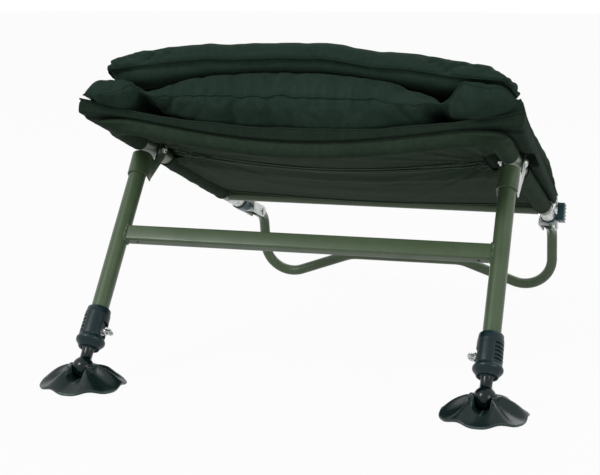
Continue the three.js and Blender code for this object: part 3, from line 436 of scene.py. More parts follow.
def points_of(mesh: bpy.types.Mesh) -> Grid:
    """The mesh's points, as rows of three."""
    flat = np.zeros(len(mesh.vertices) * 3)
    mesh.vertices.foreach_get("co", flat)
    return flat.reshape(-1, 3)


def set_points(piece: Piece, points: Grid) -> Piece:
    """Moves the piece's points."""
    piece.data.vertices.foreach_set("co", points.astype(np.float32).ravel())
    piece.data.update()
    return piece


def inflated(
    piece: Piece, held: Grid, pressure: float, reach: float, slack: float, frames: int = 20,
) -> Piece:
    """Swells a sewn cover by simulating its cloth under a little pressure.

    Args:
        piece: the closed cover.
        held: a mask of the points that seams hold still.
        pressure: the filling's push on the cloth.
        reach: the farthest that a point may move.
        slack: the share by which the cloth is cut larger than the shape.
        frames: how long the cloth is followed.

    Returns:
        The piece, with the result in its mesh.
    """
    start = points_of(piece.data)
    group = piece.vertex_groups.new(name="seams")
    group.add(np.flatnonzero(held).tolist(), 1.0, "REPLACE")
    cloth = piece.modifiers.new("cloth", "CLOTH")
    settings = cloth.settings
    settings.quality = 4
    settings.mass = 0.2
    settings.tension_stiffness = settings.compression_stiffness = 12
    settings.shear_stiffness = 3
    settings.bending_stiffness = 0.15
    settings.vertex_group_mass = group.name
    settings.shrink_min = -slack
    settings.use_pressure = True
    settings.uniform_pressure_force = pressure
    settings.effector_weights.gravity = 0
    cloth.collision_settings.use_collision = False
    cloth.point_cache.frame_end = frames
    for number in range(1, frames + 1):
        bpy.context.scene.frame_set(number)
    evaluated = piece.evaluated_get(bpy.context.evaluated_depsgraph_get())
    move = points_of(evaluated.data) - start
    far = np.linalg.norm(move, axis=1, keepdims=True)
    move *= np.minimum(1.0, reach / np.maximum(far, 1e-9))
    piece.modifiers.remove(cloth)
    bpy.context.scene.frame_set(1)
    return set_points(piece, start + move)


def bent_tube(name: str, path: Grid, radius: float, smooth: int = 10) -> Piece:
    """Models a round tube along a line, with closed ends."""
    line = added(bpy.ops.curve.primitive_bezier_curve_add, name).data
    line.splines.clear()
    spline = line.splines.new("POLY")
    spline.points.add(len(path) - 1)
    spline.points.foreach_set("co", np.column_stack([path, np.ones(len(path))]).ravel())
    line.dimensions, line.bevel_depth, line.bevel_resolution = "3D", radius, smooth
    line.use_fill_caps = True
    bpy.ops.object.convert(target="MESH")
    piece = bpy.context.object
    piece.data.name = name
    return soft_shaded(mended(piece))


def turned(name: str, profile: Outline, steps: int = 64, arc: float = 360) -> Piece:
    """Spins a closed outline of (radius, height) points about the z axis."""
    piece = added(bpy.ops.mesh.primitive_circle_add, name, vertices=len(profile), fill_type="NOTHING")
    for vertex, (radius, height) in zip(piece.data.vertices, profile):
        vertex.co = (radius, 0, height)
    in_edit(
        piece,
        lambda: bpy.ops.mesh.spin(steps=steps, angle=math.radians(arc), center=(0, 0, 0), axis=(0, 0, 1)),
    )
    return soft_shaded(mended(piece, 1e-5))


def plate(name: str, outline: Outline, low: float, high: float, edge: float = 0.0004) -> Piece:
    """Cuts a plate from an outline of (y, z) points, from low to high across, with broken edges."""
    piece = added(bpy.ops.mesh.primitive_circle_add, name, vertices=len(outline), fill_type="NGON")
    for vertex, (y, z) in zip(piece.data.vertices, outline):
        vertex.co = (low, y, z)
    in_edit(
        piece,
        lambda: bpy.ops.mesh.extrude_region_move(TRANSFORM_OT_translate={"value": (high - low, 0, 0)}),
    )
    mended(piece)
    modified(piece, "BEVEL", width=edge, segments=2, limit_method="ANGLE")
    return soft_shaded(piece)


def refined(node: str, edge: float = 0.0003, angle: float = 45) -> Piece:
    """Copies a steel or plastic solid, merges its facets and breaks its sharp edges."""
    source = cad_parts[node]
    piece = bpy.data.objects.new(f"{node}_piece", source.data.copy())
    piece.data.materials.clear()
    bpy.context.collection.objects.link(piece)
    in_edit(
        piece,
        lambda: bpy.ops.mesh.remove_doubles(threshold=1e-6),
        lambda: bpy.ops.mesh.dissolve_limited(angle_limit=math.radians(1)),
    )
    modified(piece, "BEVEL", width=edge, segments=2, limit_method="ANGLE", angle_limit=math.radians(angle))
    soft_shaded(piece)
    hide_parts(node)
    return piece


def joined(name: str, *pieces: Piece) -> Piece:
    """Makes several meshes one piece."""
    take(pieces[0])
    for piece in pieces[1:]:
        piece.select_set(True)
    bpy.ops.object.join()
    pieces[0].name = pieces[0].data.name = name
    return pieces[0]


def carved(piece: Piece, *tools: Piece) -> Piece:
    """Cuts the tools out of a piece and removes them."""
    for tool in tools:
        modified(piece, "BOOLEAN", operation="DIFFERENCE", solver="EXACT", object=tool)
        bpy.data.objects.remove(tool)
    return soft_shaded(piece)


def block(name: str, low: Sequence[float], high: Sequence[float]) -> Piece:
    """A cutting block between two corners."""
    piece = added(bpy.ops.mesh.primitive_cube_add, name, size=1)
    middle = (Vector(low) + Vector(high)) / 2
    span = Vector(high) - Vector(low)
    piece.data.transform(Matrix.Translation(middle) @ Matrix.Diagonal((*span, 1)))
    return piece


def moved(piece: Piece, matrix: Matrix) -> Piece:
    """Places a piece by moving its mesh."""
    piece.data.transform(matrix)
    piece.data.update()
    return piece


def stitches(
    name: str, path: Grid, lift: Grid, pitch: float = 0.0042, length: float = 0.0029, thick: float = 0.0004,
) -> Piece:
    """Lays a row of short threads along a line.

    Args:
        name: the piece's name.
        path: the line that the threads follow.
        lift: the direction away from the cloth at each point of the line.
        pitch: the distance from one thread to the next.
        length: the length of a thread.
        thick: half a thread's width.

    Returns:
        The threads, as one piece.
    """
    run, near = run_of(path), 1e-3
    places = np.arange(pitch / 2, run[-1], pitch)
    at, rise = picked(path, run, places), picked(lift, run, places)
    ahead = picked(path, run, places + near)
    ahead -= picked(path, run, places - near)
    ahead /= np.linalg.norm(ahead, axis=1, keepdims=True)
    aside = np.cross(ahead, rise)
    aside /= np.linalg.norm(aside, axis=1, keepdims=True)
    profile = ((-0.5, -0.6), (-0.3, 0.7), (0.0, 1.0), (0.3, 0.7), (0.5, -0.6))
    points, faces = [], []
    for centre, along, up, side in zip(at, ahead, rise, aside):
        base = len(points)
        for share, height in profile:
            middle = centre + along * share * length + up * height * thick
            points += [middle + side * thick, middle + up * thick, middle - side * thick]
        for step in range(len(profile) - 1):
            a = base + step * 3
            faces += [(a, a + 3, a + 4, a + 1), (a + 1, a + 4, a + 5, a + 2), (a + 2, a + 5, a + 3, a)]
        end = base + (len(profile) - 1) * 3
        faces += [(base, base + 1, base + 2), (end + 2, end + 1, end)]
    mesh = bpy.data.meshes.new(name)
    mesh.from_pydata([tuple(point) for point in points], [], faces)
    piece = bpy.data.objects.new(name, mesh)
    bpy.context.collection.objects.link(piece)
    return soft_shaded(mended(piece), 60)


def sleeved(
    name: str, path: Grid, run: Grid, sides: int, depth: float, twist: float, pitch: float, seed: int,
) -> Piece:
    """Wraps a tube in a cloth sleeve with small folds across it.

    Args:
        name: the piece's name.
        path: the tube's middle line, in the seat's plane.
        run: the length along it at each of its points.
        sides: how many points go round.
        depth: the folds' height, as a share of the radius.
        twist: how far the folds wander as they go round.
        pitch: the mean distance between folds.
        seed: picks their pattern.

    Returns:
        The sleeve.
    """
    section = ring(LINES.sleeve, sides)
    angle = np.arctan2(section[:, 1], section[:, 0])
    folds = 1 + depth * wrinkle(run[:, None] + 0 * angle[None, :], twist * angle[None, :], pitch, seed)
    grid = swept(path, section[None] * folds[..., None])
    uv = np.stack(np.meshgrid(angle * LINES.sleeve, run), -1)
    piece = skin(name, SEAT.place(grid), wrap=True, uv=uv)
    return modified(piece, "SOLIDIFY", thickness=LINES.sleeve_cloth, offset=-1)


def cut_square(across: Grid, ahead: Grid, reach: tuple[float, float], radius: float) -> tuple[Grid, Grid]:
    """Cloth that is cut square round a bent tube.

    Args:
        across: how far past the bend's centre each point of the tube lies across.
        ahead: how far past it lies along.
        reach: the square cut's distances from the bend's centre.
        radius: the distance at which the cloth would lie close.

    Returns:
        The turn round the corner, and how far the cloth stands away there.
    """
    turn = np.arctan2(np.maximum(ahead, 1e-6), np.maximum(across, 1e-6))
    cos, sin = np.maximum(np.cos(turn), 1e-3), np.maximum(np.sin(turn), 1e-3)
    away = np.minimum(reach[0] / cos, reach[1] / sin) - radius
    return turn, np.where((across > 0) & (ahead > 0), away, 0.0)


# Finishes


class Nodes:
    """The nodes of a material, or of the world."""

    def __init__(self, owner: Finish | bpy.types.World, shader: str = "Principled BSDF") -> None:
        """Starts with the shader that the owner comes with."""
        owner.use_nodes = True
        self.owner = owner
        self.tree = owner.node_tree
        self.shader = self.tree.nodes[shader]

    def add(self, kind: str, settings: dict | None = None, **inputs: object) -> bpy.types.Node:
        """Adds a node.

        Args:
            kind: the node's type, without the ShaderNode that all begin with.
            settings: the node's own choices.
            inputs: values or output sockets for its inputs, with _ for spaces, or i and a number.

        Returns:
            The new node.
        """
        node = self.tree.nodes.new("ShaderNode" + kind)
        for key, value in (settings or {}).items():
            setattr(node, key, value)
        for key, value in inputs.items():
            numbered = key[0] == "i" and key[1:].isdigit()
            self.feed(node.inputs[int(key[1:]) if numbered else key.replace("_", " ")], value)
        return node

    def feed(self, socket: Socket, value: object) -> None:
        """Links an output to a socket, or sets the socket's own value."""
        if isinstance(value, Socket):
            self.tree.links.new(value, socket)
        else:
            socket.default_value = value

    def surface(self, **inputs: object) -> None:
        """Sets or links the shader's inputs."""
        for key, value in inputs.items():
            self.feed(self.shader.inputs[key.replace("_", " ")], value)

    def place(self) -> Socket:
        """The point on the object."""
        return self.add("TexCoord").outputs["Object"]

    def cloth_place(self) -> Socket:
        """The point on the flat cloth, in metres."""
        return self.add("UVMap", {"uv_map": "cloth"}).outputs["UV"]

    def noise(self, where: Socket, scale: float, detail: float = 3, rough: float = 0.55) -> Socket:
        """Cloudy noise from 0 to 1."""
        node = self.add("TexNoise", Vector=where, Scale=scale, Detail=detail, Roughness=rough)
        return node.outputs["Fac"]

    def spread(self, value: Socket, low: float, high: float, start: float = 0, end: float = 1) -> Socket:
        """Maps start..end of a value to low..high."""
        node = self.add("MapRange", From_Min=start, From_Max=end, To_Min=low, To_Max=high, Value=value)
        return node.outputs["Result"]

    def blend(self, factor: Socket, first: object, second: object) -> Socket:
        """Mixes two colours."""
        node = self.add("Mix", {"data_type": "RGBA"}, i0=factor, i6=first, i7=second)
        return node.outputs[2]

    def seen(self) -> Socket:
        """1 for what the camera, a mirror or a glass sees, and 0 for the light that falls on others."""
        rays = self.add("LightPath").outputs
        seen = rays["Is Camera Ray"]
        for other in ("Is Glossy Ray", "Is Transmission Ray"):
            seen = self.add("Math", {"operation": "MAXIMUM"}, i0=seen, i1=rays[other]).outputs[0]
        return seen

    def sum(self, first: object, second: object, share: float = 1.0) -> Socket:
        """The first value plus a share of the second."""
        node = self.add("Math", {"operation": "MULTIPLY_ADD"}, i0=second, i1=share, i2=first)
        return node.outputs[0]

    def raised(self, height: Socket, depth: float, strength: float = 1.0) -> None:
        """Gives the surface relief of that depth in metres."""
        bumps = self.add("Bump", Height=height, Distance=depth, Strength=strength)
        self.surface(Normal=bumps.outputs["Normal"])


def rgb(red: float, green: float, blue: float) -> tuple[float, float, float, float]:
    """Turns screen values from 0 to 255 into a linear colour."""
    shares = (value / 255 for value in (red, green, blue))
    linear = [((share + 0.055) / 1.055) ** 2.4 if share > 10 / 255 else share / 12.92 for share in shares]
    return (*linear, 1.0)


@dataclass(frozen=True)
class Paint:
    """Satin stove paint on steel tube, with a faint orange peel and dull patches."""

    name: str = "olive_paint"
    base: tuple[int, int, int] = (80, 98, 72)
    deep: tuple[int, int, int] = (68, 86, 60)
    roughness: tuple[float, float] = (0.30, 0.42)

    def make(self) -> Finish:
        """Builds the material."""
        nodes = Nodes(bpy.data.materials.new(self.name))
        where = nodes.place()
        cloud = nodes.noise(where, 22, 4)
        peel = nodes.noise(where, 900, 2)
        dust = nodes.noise(where, 160, 5, 0.7)
        colour = nodes.blend(nodes.spread(cloud, 0, 1, 0.3, 0.7), rgb(*self.base), rgb(*self.deep))
        worn = nodes.blend(nodes.spread(dust, 0, 0.35, 0.62, 0.8), colour, rgb(104, 120, 94))
        nodes.surface(
            Base_Color=worn, Roughness=nodes.spread(cloud, *self.roughness, 0.3, 0.7),
            Coat_Weight=0.12, Coat_Roughness=0.18, Specular_IOR_Level=0.32,
        )
        nodes.raised(nodes.sum(peel, dust, 0.6), 0.00006, 0.35)
        return nodes.owner


@dataclass(frozen=True)
class Zinc:
    """Bright zinc plated steel with faint spangle and brushing."""

    name: str = "galvanised_steel"
    base: tuple[int, int, int] = (205, 209, 206)
    dull: tuple[int, int, int] = (168, 173, 171)

    def make(self) -> Finish:
        """Builds the material."""
        nodes = Nodes(bpy.data.materials.new(self.name))
        where = nodes.place()
        spangle = nodes.add("TexVoronoi", Vector=where, Scale=260).outputs["Distance"]
        cloud = nodes.noise(where, 60, 5, 0.65)
        streak = nodes.add("Mapping", Vector=where, Scale=(900, 900, 60)).outputs[0]
        brushed = nodes.noise(streak, 1, 2)
        colour = nodes.blend(nodes.spread(cloud, 0, 1, 0.35, 0.7), rgb(*self.base), rgb(*self.dull))
        nodes.surface(Base_Color=colour, Metallic=0.92, Roughness=nodes.spread(spangle, 0.2, 0.36, 0, 0.6))
        nodes.raised(nodes.sum(brushed, cloud, 1.5), 0.00005, 0.4)
        return nodes.owner


@dataclass(frozen=True)
class Moulding:
    """Moulded nylon with a fine spark texture, polished where it is touched."""

    name: str
    base: tuple[int, int, int]
    worn: tuple[int, int, int]
    roughness: tuple[float, float]

    def make(self) -> Finish:
        """Builds the material."""
        nodes = Nodes(bpy.data.materials.new(self.name))
        where = nodes.place()
        spark = nodes.noise(where, 1500, 2)
        cloud = nodes.noise(where, 45, 4, 0.6)
        edge = nodes.add("NewGeometry").outputs["Pointiness"]
        rub = nodes.spread(nodes.sum(edge, cloud, 0.06), 0, 0.7, 0.545, 0.62)
        colour = nodes.blend(rub, rgb(*self.base), rgb(*self.worn))
        rough = nodes.spread(cloud, *self.roughness, 0.3, 0.7)
        nodes.surface(Base_Color=colour, Roughness=rough, Specular_IOR_Level=0.3)
        nodes.raised(nodes.sum(spark, cloud, 0.8), 0.00008, 0.35)
        return nodes.owner


@dataclass(frozen=True)
class Cloth:
    """Woven polyester: a plain weave at its own pitch under a soft or a coated face."""

    name: str
    base: tuple[int, int, int]
    light: tuple[int, int, int]
    pitch: float
    relief: float
    roughness: float
    sheen: float
    crease: float

    def make(self) -> Finish:
        """Builds the material."""
        nodes = Nodes(bpy.data.materials.new(self.name))
        where = nodes.cloth_place()
        bands = []
        for direction in ("X", "Y"):
            wave = nodes.add(
                "TexWave",
                {"wave_type": "BANDS", "bands_direction": direction},
                Vector=where, Scale=math.pi / 10 / self.pitch, Distortion=0.6, Detail=1,
            )
            bands.append(wave.outputs["Fac"])
        weave = nodes.add("Math", {"operation": "MULTIPLY"}, i0=bands[0], i1=bands[1]).outputs[0]
        cloud = nodes.noise(where, 9, 5, 0.6)
        mottle = nodes.noise(where, 120, 4, 0.7)
        fibre = nodes.noise(where, 1400, 2)
        patches, specks = nodes.spread(cloud, 0, 0.6, 0.3, 0.7), nodes.spread(mottle, -0.25, 0.4, 0.3, 0.7)
        shade = nodes.sum(patches, specks)
        colour = nodes.blend(shade, rgb(*self.base), rgb(*self.light))
        gaps = rgb(*(value * 0.6 for value in self.base))
        colour = nodes.blend(nodes.spread(weave, 0.22, 0.0), colour, gaps)
        folds = nodes.add("Mapping", Vector=where, Scale=(26, 14, 20)).outputs[0]
        crumple = nodes.add("TexNoise", Vector=folds, Scale=1, Detail=4, Roughness=0.5, Distortion=1.4)
        nodes.surface(
            Base_Color=colour, Roughness=self.roughness, Specular_IOR_Level=0.03,
            Sheen_Weight=self.sheen, Sheen_Roughness=0.45, Sheen_Tint=rgb(150, 170, 150),
        )
        fine = nodes.sum(weave, fibre, 0.7)
        relief = nodes.add("Bump", Height=fine, Distance=self.relief, Strength=0.6)
        wide = nodes.add("Bump", Distance=self.crease, Strength=0.7, Normal=relief.outputs["Normal"])
        nodes.feed(wide.inputs["Height"], crumple.outputs["Fac"])
        nodes.surface(Normal=wide.outputs["Normal"])
        return nodes.owner


@dataclass(frozen=True)
class Thread:
    """Sewing thread with a slight shine."""

    name: str = "thread"
    base: tuple[int, int, int] = (60, 75, 60)

    def make(self) -> Finish:
        """Builds the material."""
        nodes = Nodes(bpy.data.materials.new(self.name))
        where = nodes.place()
        twist = nodes.noise(where, 2200, 2)
        colour = nodes.blend(twist, rgb(*self.base), rgb(*(value * 1.35 for value in self.base)))
        nodes.surface(Base_Color=colour, Roughness=0.55, Sheen_Weight=0.2)
        nodes.raised(twist, 0.0001, 0.5)
        return nodes.owner


def made(recipe: Paint | Zinc | Moulding | Cloth | Thread) -> Finish:
    """A field that builds its material once the finishes are made."""
    return field(default_factory=recipe.make)


@dataclass
class Finishes:
    """Every finish of the chair, each built once."""

    paint: Finish = made(Paint())
    zinc: Finish = made(Zinc())
    nylon: Finish = made(Moulding("black_nylon", (4, 32, 36), (38, 72, 78), (0.28, 0.42)))
    rubber: Finish = made(Moulding("foot_plastic", (17, 34, 33), (76, 96, 92), (0.28, 0.40)))
    ball: Finish = made(Moulding("polished_nylon", (2, 20, 22), (14, 40, 43), (0.2, 0.3)))
    sling: Finish = made(Cloth("sling_cloth", (43, 57, 45), (56, 71, 58), 0.0011, 0.00012, 0.8, 0.0, 0.0006))
    plush: Finish = made(
        Cloth("mattress_cloth", (37, 54, 46), (50, 69, 59), 0.0008, 0.00008, 0.9, 0.1, 0.0016)
    )
    pad: Finish = made(Cloth("pad_cloth", (31, 44, 36), (41, 55, 46), 0.0009, 0.0001, 0.85, 0.06, 0.001))
    piping: Finish = made(
        Cloth("piping_tape", (38, 50, 42), (52, 66, 56), 0.0006, 0.00008, 0.8, 0.05, 0.0002)
    )
    thread: Finish = made(Thread())


def dress(piece: Piece, finish: Finish, slot: Slot, body: Body | str, *nodes: str) -> Piece:
    """Gives a piece its finish and body, and hides the solids that it stands for.

    Args:
        piece: the piece, already in place.
        finish: its material.
        slot: the record's slot that the finish belongs to; not used.
        body: the body that it rides on.
        nodes: the solids that it replaces.

    Returns:
        The same piece.
    """
    piece.data.materials.clear()
    piece.data.materials.append(finish)
    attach(piece, body.value if isinstance(body, Body) else body)
    if nodes:
        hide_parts(*nodes)
    log.info("%s: %d faces, rides on %s", piece.name, len(piece.data.polygons), body)
    return piece


# Frame


@dataclass(frozen=True)
class Framework:
    """The bent tubes of the seat, the backrest and the rear leg."""

    cross_radius: float = 0.009
    cross_half: float = 0.266
    cross_drop: float = 0.004
    back_foot: float = 0.655
    rear_spread: float = 0.266
    rear_radius: float = 0.009
    rear_pivot: tuple[float, float] = (0.382513, 0.12865)
    rear_tube_end: float = 0.009
    rear_elbow: float = 0.046
    rear_elbow_radius: float = 0.034
    rear_run: float = 0.022
    rear_corner_radius: float = 0.050
    rear_middle_half: float = 0.103
    rear_middle_slope: float = math.radians(20)
    rear_middle_radius: float = 0.060

    def seat_path(self, end: float) -> Grid:
        """The seat tube's middle line, in the seat's plane, from one rail's end to the other's."""
        rail, front, bend = LINES.rail, LINES.front, LINES.bend
        half = [((rail, front, 0), bend), ((rail, end, 0), 0)]
        corners = [((-x, s, n), radius) for (x, s, n), radius in half[::-1]] + half
        path = resampled(rounded_path(corners), 0.006)
        path[:, 2] = LINES.seat_panel(path[:, 0], path[:, 1])
        return path

    def back_path(self, end: float) -> Grid:
        """The backrest tube's middle line, in the seat's plane."""
        stations = [end, *(station for station in (0.5, 0.2) if station < end)]
        side = [(float(LINES.back_spread(station)), station) for station in stations]
        half, top = LINES.back_top_half, LINES.back_top
        corners = [((-x, s, 0), 0) for x, s in side]
        corners += [((-half, top, 0), LINES.bend), ((half, top, 0), LINES.bend)]
        corners += [((x, s, 0), 0) for x, s in side[::-1]]
        path = resampled(rounded_path(corners), 0.006)
        path[:, 2] = LINES.back_panel(path[:, 0], path[:, 1])
        return path

    def rear_path(self) -> Grid:
        """The rear leg's middle line, in the chair's frame."""
        lean = SEAT.lean
        pivot_y, pivot_z = self.rear_pivot
        elbow_y = pivot_y + self.rear_elbow * math.cos(lean)
        elbow_z = pivot_z - self.rear_elbow * math.sin(lean)
        run = self.rear_run / (elbow_z - self.rear_radius)
        tilt = self.rear_middle_slope
        drop = 1 - math.cos(tilt) - (1 + math.sin(tilt)) * math.tan(tilt)
        low = self.rear_radius + self.rear_corner_radius * drop
        high = low + (self.rear_spread - self.rear_middle_half) * math.tan(tilt)
        end_y = pivot_y - self.rear_tube_end * math.cos(lean)
        end_z = pivot_z + self.rear_tube_end * math.sin(lean)
        half = [
            ((self.rear_spread, end_y, end_z), 0),
            ((self.rear_spread, elbow_y, elbow_z), self.rear_elbow_radius),
            ((self.rear_spread, elbow_y + (elbow_z - low) * run, low), self.rear_corner_radius),
            ((self.rear_middle_half, elbow_y + (elbow_z - high) * run, high), self.rear_middle_radius),
        ]
        other = [((-x, y, z), radius) for (x, y, z), radius in half]
        return rounded_path(other + half[::-1])

    def build(self, looks: Finishes) -> None:
        """Makes the four tubes."""
        seat = bent_tube("seat_tube", SEAT.place(self.seat_path(LINES.rail_end)), LINES.tube)
        dress(seat, looks.paint, Slot.PAINT, Body.SEAT, "seat_frame")
        ends = np.array([(side * self.cross_half, LINES.cross, -self.cross_drop) for side in (-1, 1)])
        cross = bent_tube("rear_cross_tube", SEAT.place(ends), self.cross_radius)
        dress(cross, looks.paint, Slot.PAINT, Body.SEAT, "seat_cross_tube")
        back = bent_tube("backrest_tube", SEAT.place(self.back_path(self.back_foot)), LINES.tube)
        dress(back, looks.paint, Slot.PAINT, Body.BACKREST, "backrest_frame")
        rear = bent_tube("rear_leg", self.rear_path(), self.rear_radius)
        dress(rear, looks.paint, Slot.PAINT, Body.REAR_LEG, "rear_leg_tube")


@dataclass(frozen=True)
class RearFittings:
    """The steel arms, pins, clevises and clips at the rails' ends."""

    def build(self, looks: Finishes) -> None:
        """Breaks the edges of each fitting and gives it its finish."""
        for word in SIDES:
            for stem, body in (
                ("ratchet_arm", Body.SEAT), ("ratchet_upper_arm", Body.BACKREST), ("ratchet_pin", Body.SEAT),
                ("rear_leg_clevis", Body.SEAT), ("rear_leg_pin", Body.SEAT),
            ):
                dress(refined(f"{stem}_{word}"), looks.zinc, Slot.STEEL, body)
            dress(refined(f"rail_end_guard_{word}"), looks.nylon, Slot.PLASTIC, Body.SEAT)
        dress(refined("leg_catch", 0.0008), looks.nylon, Slot.PLASTIC, Body.SEAT)


# Front legs


@dataclass(frozen=True)
class FrontLegs:
    """The front legs with their brackets, crossbar and height adjusters; MudFoot makes the mud feet."""

    rail: float = 0.274
    offset: float = 0.0295
    radius: float = 0.0125
    wall: float = 0.0015
    top: float = 0.031
    end: float = 0.307
    splay: float = math.radians(1.2)
    splay_drop: float = 0.049
    bracket_inner: float = 0.0133
    bracket_outer: float = 0.0153
    bracket_top: float = 0.0315
    bracket_end: float = 0.0673
    ear: tuple[tuple[float, float], ...] = (
        (-0.0295, -0.0673), (-0.015, -0.0673), (-0.0142, -0.0625), (0.0164, -0.006), (0.0170, -0.001),
        (0.0163, 0.004), (0.0132, 0.0100), (0.0087, 0.0134), (0.0028, 0.0149), (-0.0038, 0.0145),
        (-0.0085, 0.012), (-0.0115, -0.006), (-0.0155, -0.0315), (-0.0295, -0.0315),
    )
    bar_drop: float = 0.1667
    bar_height: float = 0.024
    bar_depth: float = 0.017
    bar_rounding: float = 0.003
    bar_half: float = 0.2665
    vent_inset: float = 0.026
    collar_shift: float = 0.0035
    window: tuple[float, float, float] = (0.0122, 0.024, 0.021)
    window_drop: float = 0.324
    ball_drop: float = 0.382
    ball_radius: float = 0.0155

    def leaning(self, side: int) -> Matrix:
        """The frame of one leg, which leans out a little from its bracket."""
        hinge = Vector((side * self.rail, 0, -self.splay_drop))
        turn = Matrix.Rotation(-side * self.splay, 4, "Y")
        return LEGS.matrix() @ Matrix.Translation(hinge) @ turn @ Matrix.Translation(-hinge)

    def on_leg(self, side: int, height: float = 0.0) -> Matrix:
        """The same frame, with its origin on the leg's middle line."""
        return self.leaning(side) @ Matrix.Translation((side * self.rail, -self.offset, height))

    def build(self, looks: Finishes) -> None:
        """Makes both legs and what joins them."""
        for word, side in SIDES.items():
            self.leg(looks, word, side)
            self.bracket(looks, word, side)
            self.collar(looks, word, side)
            self.wing_screw(looks, word, side)
            self.stud(looks, word, side)
        self.crossbar(looks)

    def leg(self, looks: Finishes, word: str, side: int) -> None:
        """One outer tube."""
        inner, lip = self.radius - self.wall, 0.0004
        tube = turned(f"outer_leg_{word}", [
            (inner, -self.end), (self.radius - lip, -self.end), (self.radius, -self.end + lip),
            (self.radius, -self.top - lip), (self.radius - lip, -self.top), (inner, -self.top),
        ])
        dress(moved(tube, self.on_leg(side)), looks.paint, Slot.PAINT, Body.LEGS, f"leg_tube_{word}")

    def bracket(self, looks: Finishes, word: str, side: int) -> None:
        """One U bracket: a painted half sleeve round the leg with two ears on the rail, and its bolt; the
        outer ear's bright zinc is a painted reflection.
        """
        lip = 0.0005
        inner, outer = self.bracket_inner, self.bracket_outer
        low, high = -self.bracket_end, -self.bracket_top
        sleeve = turned(f"bracket_sleeve_{word}", [
            (inner, low), (outer - lip, low), (outer, low + lip),
            (outer, high - lip), (outer - lip, high), (inner, high),
        ], arc=180)
        place = LEGS.matrix() @ Matrix.Translation((side * self.rail, -self.offset, 0))
        moved(sleeve, place)
        ears = {
            "inner": plate(f"bracket_inner_ear_{word}", self.ear, inner, outer),
            "outer": plate(f"bracket_lit_outer_ear_{word}", self.ear, inner, outer),
        }
        for where, ear in ears.items():
            turn = Matrix.Diagonal((side if where == "outer" else -side, 1, 1, 1))
            moved(ear, LEGS.matrix() @ Matrix.Translation((side * self.rail, 0, 0)) @ turn)
            mended(ear)
        dress(joined(f"bracket_sleeve_{word}", sleeve, ears["inner"]), looks.paint, Slot.STEEL, Body.LEGS)
        # The outer ear gets bright zinc as a painted reflection of the light on that side; the inner ear
        # stays painted like the sleeve.
        dress(ears["outer"], looks.zinc, Slot.STEEL, Body.LEGS, f"leg_bracket_{word}")
        self.bolt(looks, word, side)

    def bolt(self, looks: Finishes, word: str, side: int) -> None:
        """One domed bolt with a washer, and its lock nut."""
        start = self.bracket_outer + 0.0003
        head = turned(f"bolt_{word}", [
            (0, -start - 0.0075), (0.003, -start - 0.0075), (0.003, start), (0.008, start),
            (0.008, start + 0.0008), (0.0074, start + 0.0012), (0.0066, start + 0.0013),
            (0.0062, start + 0.0022), (0.005, start + 0.0033), (0.003, start + 0.0039), (0, start + 0.004),
        ], steps=40)
        place = LEGS.matrix() @ Matrix.Translation((side * self.rail, 0, 0))
        moved(head, place @ Matrix.Rotation(side * math.pi / 2, 4, "Y"))
        dress(head, looks.zinc, Slot.STEEL, Body.SEAT, f"leg_bolt_{word}")
        dress(refined(f"leg_nut_{word}", 0.0005), looks.zinc, Slot.STEEL, Body.SEAT)

    def crossbar(self, looks: Finishes) -> None:
        """The rectangular bar with its vents, and the weld beads at its ends."""
        half, depth, height = self.bar_half, self.bar_depth / 2, self.bar_height / 2
        bar = block("leg_bar", (-half, -depth, -height), (half, depth, height))
        mended(bar)
        modified(bar, "BEVEL", width=self.bar_rounding, segments=5, limit_method="ANGLE")
        drills = []
        for side in SIDES.values():
            drill = added(bpy.ops.mesh.primitive_cylinder_add, vertices=24, radius=0.002, depth=0.02)
            vent = Vector((side * (self.rail - self.vent_inset), 0, -height))
            drills.append(moved(drill, Matrix.Translation(vent)))
        carved(bar, *drills)
        place = LEGS.matrix() @ Matrix.Translation((0, -self.offset, -self.bar_drop))
        dress(moved(bar, place), looks.paint, Slot.PAINT, Body.LEGS, "leg_crossbar")
        middle = self.rail + (self.bar_drop - self.splay_drop) * math.sin(self.splay)
        rng = np.random.default_rng(7)
        for word, side in SIDES.items():
            angle = np.linspace(0, 2 * math.pi, 96, endpoint=False)
            reach = np.stack([np.abs(np.cos(angle)), np.abs(np.sin(angle))], -1) ** 0.35
            y = depth * np.sign(np.cos(angle)) * reach[:, 0]
            z = height * np.sign(np.sin(angle)) * reach[:, 1]
            x = side * (middle - np.sqrt(self.radius**2 - y**2) - 0.0004)
            path = np.stack([x, y, z], -1)
            path = np.concatenate([path, path[:1]])
            ripple = 1 + 0.22 * np.sin(angle * 24) + 0.12 * rng.standard_normal(len(angle))
            count = 12
            around = ring(1.0, count)
            outward = np.stack([np.zeros_like(angle), np.cos(angle), np.sin(angle)], -1)
            rows = path[:-1, None] + 0.0021 * ripple[:, None, None] * (
                around[None, :, :1] * outward[:, None] + around[None, :, 1:] * np.array([1.0, 0, 0])
            )
            bead = skin(f"weld_bead_{word}", np.concatenate([rows, rows[:1]]), wrap=True)
            dress(moved(mended(bead), place), looks.paint, Slot.PAINT, Body.LEGS)

